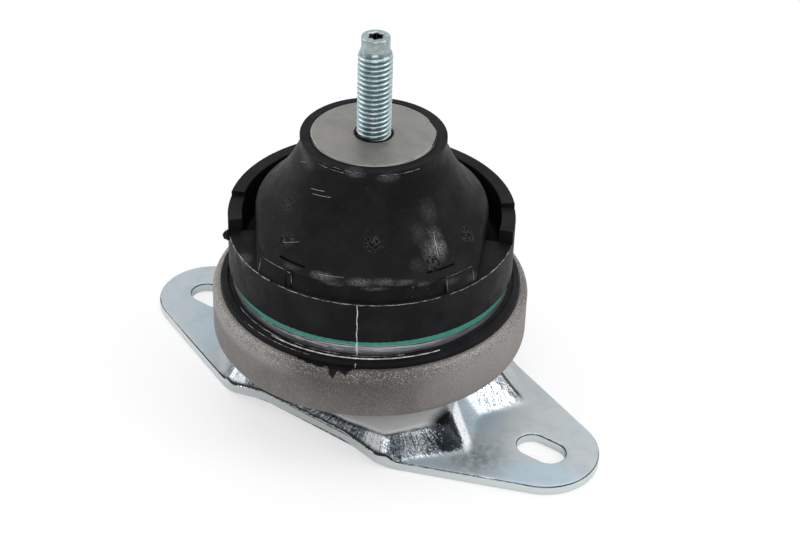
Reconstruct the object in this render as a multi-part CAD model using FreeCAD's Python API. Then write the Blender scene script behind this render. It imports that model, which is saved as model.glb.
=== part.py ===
import FreeCAD
import Part
import math
import os

from FreeCAD import Vector

# Hydraulic engine mount. Lengths are in millimetres and angles in degrees.
# The origin is on the underside of the base plate, below the axis of the round body.
# +X runs along the base plate to one slotted end, and +Z points up along the stud.

# Base plate, one pressed sheet
plate_sheet = 3.0
slot_span = 127.0
slot_length = 15.4
slot_width = 9.8
lobe_radius = 17.2
plate_half_width = 33.3
plate_corner_x = 27.8
plate_corner_radius = 7.0
seat_height = 9.8
seat_half_width = 31.75
side_slope = 59.0
side_slope_below = 40.0
side_edge_height = 4.0
press_bend_share = 0.18
plate_hole_radius = 7.5

# One quarter of the raised seat's outline, from its side to the middle of its end
side_bend_x = 15.0
side_slant = 8.0
side_slant_below = 16.0
seat_corner_x = 28.6
seat_bend = (34.6, 20.0)
horn_top = (37.6, 12.6)
notch_top_x = 33.2
foot_corner_x = 30.2
foot_bend = (39.5, 23.4)
horn_tip = (48.0, 15.0)
notch_foot_x = 39.6
corner_bend = 4.0
flank_bend = 9.0
horn_bend = 2.4
notch_bend = 8.0
wall_inset = 1.5

# Housing cup, one drawn sheet with a rolled rim
cup_sheet = 2.4
cup_radius = 47.4
cone_width = 13.0
shelf_width = 5.4
cup_vent_radius = 3.0
shelf_height = 11.0
rim_height = 27.4
rim_width = 4.4
cup_bend = 1.6
rim_bend = 0.6

# Steel ring bonded into the rubber
ring_sheet = 2.0
ring_gap = 0.9
ring_flange_width = 2.8
ring_top_drop = 1.8
ring_bend = 0.8

# Rubber moulding: heights are above the underside of the base plate
lining = 0.8
inner_lining = 1.0
band_thickness = 1.0
band_bottom = 44.2
band_top = 57.3
foot_top = 39.4
foot_bead = 1.6
foot_round = 0.7
groove_offset = 1.2
groove_half_width = 0.4
groove_depth = 0.7
groove_round = 0.3
bell_setback = 5.6
lip_radius = 21.2
lip_height = 87.4
spring_inner_height = 43.0
snubber_radius = 12.5
snubber_cover = 2.2
snubber_round = 3.0
cone_round = 6.0
wing_setback = 1.5
wing_rise = 4.6
wing_draft = 1.2
wing_touch = 83.0
wing_block_start = 33.0
wing_block_end = 60.0
wing_block_step = 0.9
bell_round = 5.0
flare_end_slope = 0.35
slit_width = 0.6
slit_depth = 2.2
slit_setback = 2.4
slit_start = 27.0
slit_sweep = 14.0
collar_rise = 5.5
collar_wall = 4.1
collar_start = 97.0
collar_end = 148.0
block_rise = 4.1
block_wall = 4.9
block_start = 78.5
trough_depth = 7.3
trough_round = 1.5
root = 0.5

# Flank of the bell: shares of the way out from the lip to the wing's edge, and of the way down
flare_stations = (
    (0.0, 0.106), (0.07, 0.251), (0.161, 0.388), (0.312, 0.565), (0.511, 0.741), (0.73, 0.884), (1.0, 1.0),
)

# Clock angle of the middle of the front wing, seen from above, from +X towards +Y
body_clock = -56.5

# Core and stud
core_radius = 18.2
core_top = 87.8
core_bottom = 56.0
core_tip_radius = 11.0
core_shoulder = 4.0
core_chamfer = 0.5
core_tip_round = 3.0
core_neck_round = 2.0
stud_radius = 5.0
stud_pitch_radius = 4.5
stud_top = 118.7
stud_depth = 26.0
pilot_radius = 4.1
pilot_length = 5.2
stud_taper = 2.0
socket_radius = 2.2
socket_depth = 3.4
socket_lobes = 6
socket_core_share = 0.78
socket_lobe_share = 0.32
thread_gap = 0.1
countersink = 0.9

# Pieces clamped inside the cup
body_thickness = 4.4
cover_sheet = 1.4
stack_gap = 0.4
channel_setback = 11.1
channel_width = 7.0
channel_depth = 3.0
channel_sweep = 300.0
channel_round = 1.0
port_radius = 3.0
port_setback = 7.0
cage_radius = 20.0
cage_depth = 2.6
grid_hole_radius = 1.9
grid_pitch = 6.4
grid_rings = 2
membrane_thickness = 1.7
membrane_gap = 0.3
membrane_edge_width = 2.5
membrane_edge_slope = 1.0
bellows_sheet = 1.5
bellows_gap = 0.6
bellows_edge_width = 7.4
bellows_fold_radius = 24.0
bellows_fold_height = 20.6
bellows_floor_radius = 15.0
bellows_floor_height = 14.4
bellows_bend = 2.0
insert_sheet = 1.0
insert_width = 2.4
insert_cover = 1.2
corner_round = 0.4

# How far a cutting shape runs past the face it cuts
over = 1.0

# A round takes at most this share of the shorter side at its corner
round_reach_share = 0.48

# A corner this close to straight, as half its angle, gets a short straight piece for its round
straight_half_angle = 89.0
straight_share = 0.1

# Lengths below this count as nothing
tiny = 0.001

# Sizes that follow from those above
shelf_bottom = seat_height + shelf_height
shelf_top = shelf_bottom + cup_sheet
rim_top = seat_height + rim_height
rim_underside = rim_top - cup_sheet
rim_inner_radius = cup_radius - rim_width
cup_inner_radius = cup_radius - cup_sheet
cup_cone_radius = cup_radius - shelf_width
cup_floor_radius = cup_cone_radius - cone_width
ring_flange_radius = cup_inner_radius - ring_gap
ring_radius = ring_flange_radius - ring_flange_width
flange_top = rim_underside - lining
flange_bottom = flange_top - ring_sheet
stack_top = flange_bottom - lining
cover_top = stack_top - body_thickness
cover_bottom = cover_top - cover_sheet
band_radius = ring_radius + band_thickness
bore_radius = ring_radius - ring_sheet - inner_lining
wing_radius = ring_radius - wing_setback
wing_height = band_top + wing_rise
bell_edge_radius = wing_radius - bell_setback
slit_radius = wing_radius - slit_setback
collar_height = band_top + collar_rise
block_height = band_top + block_rise
stack_radius = cup_inner_radius - stack_gap
channel_radius = stack_radius - channel_setback
insert_radius = stack_radius - cup_bend
bellows_radius = cup_inner_radius - bellows_gap
bellows_inner_radius = bellows_radius - bellows_edge_width


def arc_corner(before, corner, after, radius):
    """Two tangent points at one corner and the middle of its round, which is None where it is straight."""
    to_before = before - corner
    to_after = after - corner
    reach = min(to_before.Length, to_after.Length)
    to_before.normalize()
    to_after.normalize()
    half = 0.5 * math.acos(max(-1.0, min(1.0, to_before.dot(to_after))))
    if radius < tiny:
        return corner, None, corner
    if half > math.radians(straight_half_angle):
        back = straight_share * reach
        return corner + to_before * back, None, corner + to_after * back
    back = min(radius / math.tan(half), round_reach_share * reach)
    radius = back * math.tan(half)
    bisector = to_before + to_after
    bisector.normalize()
    middle = corner + bisector * (radius / math.sin(half) - radius)
    return corner + to_before * back, middle, corner + to_after * back


def rounded_edges(corners, closed):
    """Straight edges through (x, y, z, radius) corners, with an arc at each corner that has a radius."""
    points = [Vector(*corner[:3]) for corner in corners]
    count = len(points)
    ends = []
    for index in range(count):
        inside = closed or 0 < index < count - 1
        radius = corners[index][3] if inside else 0
        ends.append(arc_corner(points[index - 1], points[index], points[(index + 1) % count], radius))
    edges = []
    for index in range(count):
        start, middle, finish = ends[index]
        if middle is not None:
            edges.append(Part.Arc(start, middle, finish).toShape())
        elif (finish - start).Length > tiny:
            edges.append(Part.LineSegment(start, finish).toShape())
        following = ends[(index + 1) % count][0]
        if (closed or index < count - 1) and (following - finish).Length > tiny:
            edges.append(Part.LineSegment(finish, following).toShape())
    return edges


def rounded_wire(corners):
    """Closed wire through (x, y, z, radius) corners."""
    return Part.Wire(rounded_edges(corners, True))


def turned(section, sweep=360.0, middle=0.0):
    """Turns a half section of (radius, height, round) corners about the axis, centred on a clock angle."""
    wire = rounded_wire([(radius, 0.0, height, bend) for radius, height, bend in section])
    return turned_wire(wire, sweep, middle)


def turned_wire(wire, sweep=360.0, middle=0.0):
    """Turns a closed wire in the XZ plane about the body's axis, centred on one clock angle."""
    solid = Part.Face(wire).revolve(Vector(0, 0, 0), Vector(0, 0, 1), sweep)
    if sweep < 360.0:
        solid.rotate(Vector(0, 0, 0), Vector(0, 0, 1), body_clock + middle - 0.5 * sweep)
    return solid


def sheet_section(path, thickness):
    """Half section of a bent sheet: the path is one side and the other lies to its left."""
    count = len(path)
    near = []
    far = []
    for index, (radius, height, bend) in enumerate(path):
        here = Vector(radius, height, 0)
        before = Vector(*path[max(index - 1, 0)][:2], 0)
        after = Vector(*path[min(index + 1, count - 1)][:2], 0)
        arriving = (here - before) if index > 0 else (after - here)
        leaving = (after - here) if index < count - 1 else arriving
        arriving.normalize()
        leaving = Vector(leaving).normalize()
        turn = arriving.x * leaving.y - arriving.y * leaving.x
        left = Vector(-arriving.y - leaving.y, arriving.x + leaving.x, 0)
        left.normalize()
        mitre = thickness / left.dot(Vector(-leaving.y, leaving.x, 0))
        side = here + left * mitre
        near.append((radius, height, bend + thickness if turn > 0 and bend else bend))
        far.append((side.x, side.y, bend if turn > 0 or not bend else bend + thickness))
    return near + far[::-1]


def cylinder(radius, bottom, top, x=0.0, y=0.0):
    """Upright cylinder between two heights."""
    return Part.makeCylinder(radius, top - bottom, Vector(x, y, bottom))


def mirrored_ends(x):
    """Both ends of the base plate, at plus and minus x."""
    return (x, -x)


def plate_outline():
    """Outline of the base plate: round ends joined by tapered sides to a straight middle."""
    end_x = 0.5 * slot_span
    run = Vector(end_x - plate_corner_x, -plate_half_width, 0)
    lean = math.atan2(run.y, run.x) + math.asin(lobe_radius / run.Length)
    taper = math.sqrt(run.Length**2 - lobe_radius**2)
    touch_x = plate_corner_x + taper * math.cos(lean)
    touch_y = plate_half_width + taper * math.sin(lean)
    edges = []
    for side in (1, -1):
        edges.extend(rounded_edges([
            (side * touch_x, side * touch_y, 0, 0),
            (side * plate_corner_x, side * plate_half_width, 0, plate_corner_radius),
            (-side * plate_corner_x, side * plate_half_width, 0, plate_corner_radius),
            (-side * touch_x, side * touch_y, 0, 0),
        ], False))
        edges.append(Part.Arc(
            Vector(-side * touch_x, side * touch_y, 0),
            Vector(-side * (end_x + lobe_radius), 0, 0),
            Vector(-side * touch_x, -side * touch_y, 0),
        ).toShape())
    return Part.Face(Part.Wire(edges))


def blend(low, high, share):
    """Value at one share of the way from low to high, for numbers or (x, y) pairs."""
    if isinstance(low, tuple):
        return tuple(blend(a, b, share) for a, b in zip(low, high))
    return low + (high - low) * share


def seat_wire(share, half_width, slant, inset, height):
    """Closed outline of the raised seat at one share of the way up its wall, mirrored from one quarter."""
    corner_x = blend(foot_corner_x, seat_corner_x, share) - inset
    bend = blend(foot_bend, seat_bend, share)
    horn = blend(horn_tip, horn_top, share)
    notch_x = blend(notch_foot_x, notch_top_x, share)
    run = math.tan(math.radians(slant)) * (corner_x - side_bend_x)
    quarter = [
        (side_bend_x, half_width, 0),
        (corner_x, half_width - run, corner_bend),
        (bend[0] - inset, bend[1], flank_bend),
        (horn[0] - inset, horn[1], horn_bend),
    ]
    back = [(x, -y, bend) for x, y, bend in reversed(quarter)]
    end = quarter + [(notch_x - inset, 0, notch_bend)] + back
    other_end = [(-x, -y, bend) for x, y, bend in end]
    return rounded_wire([(x, y, height, bend) for x, y, bend in end + other_end])


def wall_rise(share):
    """Share of the seat's height at one share of the way across its wall, with a soft bend at both ends."""
    if share < press_bend_share:
        return (share + press_bend_share) ** 2 / (4 * press_bend_share)
    if share > 1 - press_bend_share:
        return 1 - (1 + press_bend_share - share) ** 2 / (4 * press_bend_share)
    return share


def pressed_form(outline, drop):
    """Space below the top skin of the pressing, or below its bottom skin where drop is the sheet."""
    flat = plate_sheet - drop
    top = seat_height - drop
    inset = wall_inset if drop else 0.0
    slant = side_slant_below if drop else side_slant
    slope = math.tan(math.radians(side_slope_below if drop else side_slope))
    top_half = plate_half_width - (top - side_edge_height) / slope if drop else seat_half_width
    foot_half = top_half + (top - flat) / slope
    soft = press_bend_share
    shares = (-soft, 0, soft, 1 - soft, 1, 1 + soft)
    wires = []
    for share in shares:
        height = blend(flat, top, wall_rise(share))
        wires.append(seat_wire(share, blend(foot_half, top_half, share), slant, inset, height))
    seat = Part.makeLoft(wires, True, True)
    below = -plate_sheet
    prism = outline.copy()
    prism.translate(Vector(0, 0, below))
    prism = prism.extrude(Vector(0, 0, top + over - below))
    reach = 2 * slot_span
    slab = Part.makeBox(2 * reach, 2 * reach, flat - below, Vector(-reach, -reach, below))
    return prism.common(seat.fuse(slab)).removeSplitter()


def base_plate():
    """Pressed steel plate with a raised seat, a clearance step round each slot, and two slots."""
    outline = plate_outline()
    upper = pressed_form(outline, 0.0)
    lower = pressed_form(outline, plate_sheet)
    plate = upper.cut(lower)
    reach = 2 * slot_span
    plate = plate.common(Part.makeBox(2 * reach, 2 * reach, seat_height + over, Vector(-reach, -reach, 0)))
    plate = plate.cut(cylinder(plate_hole_radius, 0, seat_height + over))
    straight = 0.5 * (slot_length - slot_width)
    for end_x in mirrored_ends(0.5 * slot_span):
        for shift in (-straight, straight):
            plate = plate.cut(cylinder(0.5 * slot_width, -over, plate_sheet + over, end_x + shift))
        corner = Vector(end_x - straight, -0.5 * slot_width, -over)
        slot = Part.makeBox(2 * straight, slot_width, plate_sheet + 2 * over, corner)
        plate = plate.cut(slot)
    return plate.removeSplitter()


def housing_cup():
    """Drawn cup: floor on the base plate's seat, cone, shelf, wall and a rim rolled over the edge."""
    path = [
        (cup_vent_radius, seat_height, 0),
        (cup_floor_radius, seat_height, cup_bend),
        (cup_cone_radius, shelf_bottom, cup_bend),
        (cup_radius, shelf_bottom, cup_bend),
        (cup_radius, rim_top, rim_bend),
        (rim_inner_radius, rim_top, 0),
    ]
    return turned(sheet_section(path, cup_sheet))


def armature_path():
    """Outer side of the steel ring, from the edge of its flange to its top."""
    return [
        (ring_flange_radius, flange_top, 0),
        (ring_radius, flange_top, ring_bend),
        (ring_radius, band_top - ring_top_drop, 0),
    ]


def armature_ring():
    """Flanged steel ring that the rubber is bonded to."""
    return turned(sheet_section(armature_path(), ring_sheet))


def core_section():
    """Half section of the core: a disc that tapers to a rounded tip inside the rubber."""
    return [
        (0, core_bottom, 0),
        (core_tip_radius, core_bottom, core_tip_round),
        (core_radius, core_top - core_shoulder, core_neck_round),
        (core_radius, core_top, core_chamfer),
        (0, core_top, 0),
    ]


def stud_bottom():
    """Height of the stud's lower end inside the core."""
    return core_top - stud_depth


def core_insert():
    """Tapered steel core with a tapped hole at the thread's mean radius, countersunk round the stud."""
    hole_radius = stud_pitch_radius + thread_gap
    core = turned(core_section())
    core = core.cut(cylinder(hole_radius, stud_bottom(), core_top + over))
    foot = Vector(0, 0, core_top - countersink)
    mouth = Part.makeCone(hole_radius, hole_radius + countersink + over, countersink + over, foot)
    return core.cut(mouth)


def lobed_socket(bottom, top):
    """Hexalobular drive recess: a round core with evenly spaced lobes."""
    socket = cylinder(socket_core_share * socket_radius, bottom, top)
    lobe = socket_lobe_share * socket_radius
    for index in range(socket_lobes):
        angle = math.radians(index * 360.0 / socket_lobes)
        out = socket_radius - lobe
        socket = socket.fuse(cylinder(lobe, bottom, top, out * math.cos(angle), out * math.sin(angle)))
    return socket


def stud():
    """Threaded stud: mean radius of the thread inside the core, outer radius above it, then a pilot end."""
    pilot_start = stud_top - pilot_length
    section = [
        (0, stud_bottom(), 0),
        (stud_pitch_radius, stud_bottom(), 0),
        (stud_pitch_radius, core_top, 0),
        (stud_radius, core_top, 0),
        (stud_radius, pilot_start - stud_taper, 0),
        (pilot_radius, pilot_start, 0),
        (pilot_radius, stud_top, corner_round),
        (0, stud_top, 0),
    ]
    return turned(section).cut(lobed_socket(stud_top - socket_depth, stud_top + over))


def flare_wire():
    """Closed half section of the flared bell, from the lip down to the wall of its wings."""
    drop = lip_height - wing_height
    spread = wing_radius - lip_radius
    points = []
    for across, down in flare_stations:
        points.append(Vector(lip_radius + across * spread, 0, lip_height - down * drop))
    flank = Part.BSplineCurve()
    flank.interpolate(points, InitialTangent=Vector(0, 0, -1), FinalTangent=Vector(1, 0, -flare_end_slope))
    corners = [
        points[-1], Vector(wing_radius + wing_draft, 0, band_top), Vector(0, 0, band_top),
        Vector(0, 0, lip_height), Vector(lip_radius, 0, lip_height), points[0],
    ]
    edges = [flank.toShape()]
    edges.extend(Part.LineSegment(a, b).toShape() for a, b in zip(corners, corners[1:]))
    return Part.Wire(edges)


def side_pocket(side):
    """Space beside the bell: along the front wing's side, then round the bell to the back wing."""
    reach = 2 * band_radius
    height = lip_height - band_top
    pocket = turned([
        (bell_edge_radius, band_top, 0),
        (reach, band_top, 0),
        (reach, lip_height, 0),
        (bell_edge_radius, lip_height, 0),
    ], collar_end - wing_touch, side * 0.5 * (wing_touch + collar_end))
    start_y = -reach if side > 0 else 0
    front = Part.makeBox(reach, reach, height, Vector(bell_edge_radius, start_y, band_top))
    front.rotate(Vector(0, 0, 0), Vector(0, 0, 1), body_clock + side * wing_touch)
    return pocket.fuse(front).removeSplitter()


def bell_shoulders(shape):
    """Edges where the flared top of the bell meets the walls of the side pockets."""
    found = []
    for edge in shape.Edges:
        middle = edge.valueAt(0.5 * (edge.FirstParameter + edge.LastParameter))
        radius = math.hypot(middle.x, middle.y)
        clock = abs((math.degrees(math.atan2(middle.y, middle.x)) - body_clock + 180) % 360 - 180)
        inside = bell_edge_radius - tiny < radius < wing_radius - root
        if inside and middle.z > wing_height - root and clock < collar_end - 1:
            found.append(edge)
    return found


def bell():
    """Flared bell with its two wings, its side walls rounded into the top."""
    shape = turned_wire(flare_wire())
    for side in (-1, 1):
        shape = shape.cut(side_pocket(side))
    return shape.makeFillet(bell_round, bell_shoulders(shape))


def moulding_body():
    """Full turn of the moulding below the bell: snubber, cone, lining, foot, land and band."""
    under = core_bottom - snubber_cover
    groove = ring_radius + groove_offset
    return turned([
        (0, under, 0),
        (snubber_radius, under, snubber_round),
        (bore_radius, spring_inner_height, cone_round),
        (bore_radius, stack_top, 0),
        (cup_inner_radius, stack_top, 0),
        (cup_inner_radius, rim_underside, rim_bend),
        (rim_inner_radius, rim_underside, 0),
        (rim_inner_radius, rim_top, 0),
        (cup_inner_radius, rim_top, 0),
        (cup_inner_radius, rim_top + foot_bead, foot_round),
        (groove + groove_half_width, foot_top, groove_round),
        (groove, foot_top - groove_depth, groove_round),
        (groove - groove_half_width, foot_top, groove_round),
        (ring_radius, foot_top, 0),
        (ring_radius, band_bottom, 0),
        (band_radius, band_bottom, corner_round),
        (band_radius, band_top, corner_round),
        (0, band_top, 0),
    ])


def wing_block(side):
    """Proud block on the wall of the front wing, between its corner and the middle."""
    block = turned([
        (slit_radius, band_top - root, 0),
        (wing_radius + wing_draft + wing_block_step, band_top - root, 0),
        (wing_radius + wing_block_step, wing_height, corner_round),
        (slit_radius, wing_height, 0),
    ], wing_block_end - wing_block_start, side * 0.5 * (wing_block_start + wing_block_end))
    return block.cut(side_pocket(side))


def wing_slit(side):
    """Narrow slit in the top of the front wing, just behind a block."""
    return turned([
        (slit_radius - 0.5 * slit_width, wing_height - slit_depth, 0),
        (slit_radius + 0.5 * slit_width, wing_height - slit_depth, 0),
        (slit_radius + 0.5 * slit_width, wing_height + slit_depth, 0),
        (slit_radius - 0.5 * slit_width, wing_height + slit_depth, 0),
    ], slit_sweep, side * (slit_start + 0.5 * slit_sweep))


def sector_wall(wall, height, start, end, side):
    """Upright wall on the band over one sector, measured to one side from the front."""
    return turned([
        (band_radius - wall, band_top - root, 0),
        (band_radius, band_top - root, 0),
        (band_radius, height, corner_round),
        (band_radius - wall, height, corner_round),
    ], end - start, side * 0.5 * (start + end))


def trough(side):
    """Deep trough between the bell and a collar."""
    return turned([
        (bell_edge_radius, band_top - trough_depth, trough_round),
        (band_radius - collar_wall, band_top - trough_depth, trough_round),
        (band_radius - collar_wall, collar_height + over, 0),
        (bell_edge_radius, collar_height + over, 0),
    ], collar_end - block_start, side * 0.5 * (block_start + collar_end))


def rubber_spring():
    """The whole rubber moulding, with the spaces that the core and the steel ring fill."""
    rubber = moulding_body().fuse(bell())
    for side in (-1, 1):
        rubber = rubber.fuse(wing_block(side))
        rubber = rubber.fuse(sector_wall(block_wall, block_height, block_start, collar_start, side))
        rubber = rubber.fuse(sector_wall(collar_wall, collar_height, collar_start, collar_end, side))
    for side in (-1, 1):
        rubber = rubber.cut(trough(side))
        rubber = rubber.cut(wing_slit(side))
    rubber = rubber.cut(turned(core_section()))
    rubber = rubber.cut(turned(sheet_section(armature_path(), ring_sheet)))
    rubber = rubber.cut(cylinder(core_radius, core_top - core_shoulder, core_top + over))
    return rubber.removeSplitter()


def grid_positions():
    """Centres of the holes above and below the membrane: one in the middle and rings about it."""
    places = [(0.0, 0.0)]
    for ring in range(1, grid_rings + 1):
        for index in range(6 * ring):
            angle = math.radians(index * 60.0 / ring)
            places.append((ring * grid_pitch * math.cos(angle), ring * grid_pitch * math.sin(angle)))
    return places


def port(bottom, top, end):
    """Round port through one end of the channel."""
    angle = math.radians(body_clock + end * (0.5 * channel_sweep - port_setback))
    x = channel_radius * math.cos(angle)
    y = channel_radius * math.sin(angle)
    return cylinder(port_radius, bottom, top, x, y)


def orifice_body():
    """Cast plate with the ring channel in its underside, the membrane's cage, a grid and the upper port."""
    body = turned([
        (0, cover_top, 0),
        (stack_radius, cover_top, 0),
        (stack_radius, stack_top, 0),
        (0, stack_top, 0),
    ])
    half = 0.5 * channel_width
    body = body.cut(turned([
        (channel_radius - half, cover_top - over, 0),
        (channel_radius + half, cover_top - over, 0),
        (channel_radius + half, cover_top + channel_depth, channel_round),
        (channel_radius - half, cover_top + channel_depth, channel_round),
    ], channel_sweep))
    body = body.cut(cylinder(cage_radius, cover_top - over, cover_top + cage_depth))
    for x, y in grid_positions():
        body = body.cut(cylinder(grid_hole_radius, cover_top, stack_top + over, x, y))
    return body.cut(port(cover_top, stack_top + over, 1))


def orifice_cover():
    """Stamped plate that closes the channel and the cage, with its own grid and the lower port."""
    cover = cylinder(stack_radius, cover_bottom, cover_top)
    for x, y in grid_positions():
        cover = cover.cut(cylinder(grid_hole_radius, cover_bottom - over, cover_top + over, x, y))
    return cover.cut(port(cover_bottom - over, cover_top + over, -1))


def decoupler_membrane():
    """Rubber disc that floats in its cage, thicker at its edge than in its middle."""
    edge_top = cover_top + cage_depth - membrane_gap
    middle_top = cover_top + membrane_thickness
    return turned([
        (0, cover_top, 0),
        (cage_radius - membrane_gap, cover_top, 0),
        (cage_radius - membrane_gap, edge_top, 0),
        (cage_radius - membrane_edge_width, edge_top, 0),
        (cage_radius - membrane_edge_width - membrane_edge_slope, middle_top, 0),
        (0, middle_top, 0),
    ])


def diaphragm():
    """Thin rubber bellows: a clamped edge, one deep fold and a hanging floor."""
    path = [
        (0, bellows_floor_height, 0),
        (bellows_floor_radius, bellows_floor_height, bellows_bend),
        (bellows_fold_radius, bellows_fold_height, bellows_bend),
        (bellows_inner_radius, shelf_top, bellows_bend),
        (insert_radius, shelf_top, 0),
    ]
    bellows = turned(sheet_section(path, bellows_sheet))
    inner = insert_radius - insert_width - insert_cover
    edge = turned([
        (inner, shelf_top, 0),
        (bellows_radius, shelf_top, cup_bend),
        (bellows_radius, cover_bottom, 0),
        (inner, cover_bottom, 0),
    ])
    return bellows.fuse(edge).cut(insert_space()).removeSplitter()


def insert_space():
    """Ring-shaped space of the steel insert in the edge of the bellows."""
    return turned([
        (insert_radius - insert_width, shelf_top, 0),
        (insert_radius, shelf_top, 0),
        (insert_radius, shelf_top + insert_sheet, 0),
        (insert_radius - insert_width, shelf_top + insert_sheet, 0),
    ])


def diaphragm_ring():
    """Flat steel ring moulded into the edge of the bellows, on the cup's shelf."""
    return insert_space()


PIECES = {
    "base_plate": base_plate,
    "housing_cup": housing_cup,
    "armature_ring": armature_ring,
    "rubber_spring": rubber_spring,
    "core_insert": core_insert,
    "stud": stud,
    "orifice_body": orifice_body,
    "orifice_cover": orifice_cover,
    "decoupler_membrane": decoupler_membrane,
    "diaphragm": diaphragm,
    "diaphragm_ring": diaphragm_ring,
}


def single_solid(name, shape):
    """Returns the one solid of a piece, and stops if the piece isn't one valid solid."""
    if len(shape.Solids) != 1 or not shape.isValid():
        raise ValueError(f"{name}: {len(shape.Solids)} solids, valid {shape.isValid()}")
    return shape.Solids[0]


os.makedirs("parts", exist_ok=True)
for name, build in PIECES.items():
    solid = single_solid(name, build())
    solid.exportStep(f"parts/{name}.step")
    print(f"{name}: {solid.Volume:.0f} mm3")
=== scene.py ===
"""Looks of a hydraulic engine mount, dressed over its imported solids.

The rubber bell, its wings and stops come from the solids. This script adds the stud's thread, the soft
bends of the pressed plate, the flash that the mould left on the rubber, and the surface of every piece.
Sizes are in millimetres until mm() is called.
"""

import logging
import math
import random
from dataclasses import dataclass
from enum import Enum
from functools import partial

import bpy
import numpy as np
from mathutils import Matrix, Vector
from mathutils.bvhtree import BVHTree
from mathutils.geometry import delaunay_2d_cdt


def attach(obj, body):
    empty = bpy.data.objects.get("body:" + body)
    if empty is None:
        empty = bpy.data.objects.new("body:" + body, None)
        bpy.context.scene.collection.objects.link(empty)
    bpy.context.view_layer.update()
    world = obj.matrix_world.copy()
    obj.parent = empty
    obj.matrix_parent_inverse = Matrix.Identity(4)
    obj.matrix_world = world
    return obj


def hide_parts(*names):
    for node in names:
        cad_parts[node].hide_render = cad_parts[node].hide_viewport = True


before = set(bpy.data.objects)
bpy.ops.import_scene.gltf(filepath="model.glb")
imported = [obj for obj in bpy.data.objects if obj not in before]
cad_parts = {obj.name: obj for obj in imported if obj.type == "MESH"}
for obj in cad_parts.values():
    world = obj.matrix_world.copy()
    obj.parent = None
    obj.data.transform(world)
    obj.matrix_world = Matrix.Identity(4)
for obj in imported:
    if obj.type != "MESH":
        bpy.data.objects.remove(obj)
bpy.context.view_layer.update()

log = logging.getLogger("engine_mount")

MILLIMETRE = 0.001

Tree = bpy.types.NodeTree
Socket = bpy.types.NodeSocket
Material = bpy.types.Material
Point = tuple[float, float, float]
Circle = tuple[float, float, float]
Face = tuple[int, ...]
Pairs = tuple[tuple[float, float], ...]
Ring = tuple[tuple[float, float, float, float, float], float, float]
Path = list[tuple[Vector, Vector]]


class Turn(Enum):
    """Clock angles, in degrees from +X towards +Y, that the round body is set by."""

    BODY_FRONT = -56.5


class Body(Enum):
    """Rigid bodies that pieces ride on."""

    ROOT = "root"


def mm(value: float) -> float:
    """Returns a length in metres for one in millimetres."""
    return value * MILLIMETRE


def linear_colour(code: str) -> tuple[float, float, float, float]:
    """Turns an sRGB hex colour into linear light.

    Args:
        code: Six hex digits, red first.

    Returns:
        Red, green, blue and alpha in linear light.
    """
    parts = [int(code[start : start + 2], 16) / 255 for start in (0, 2, 4)]
    # The two pieces of the sRGB curve, with the constants of its standard.
    lit = [part / 12.92 if part <= 0.04045 else ((part + 0.055) / 1.055) ** 2.4 for part in parts]
    return (lit[0], lit[1], lit[2], 1.0)


@dataclass(frozen=True)
class Recipe:
    """How a node is set: kind, settings, inputs in the order they are given, and the output it is for."""

    kind: str
    settings: tuple[tuple[str, str], ...] = ()
    inputs: tuple[int | str, ...] = (0, 1, 2, 3, 4)
    output: int | str = 0


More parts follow.
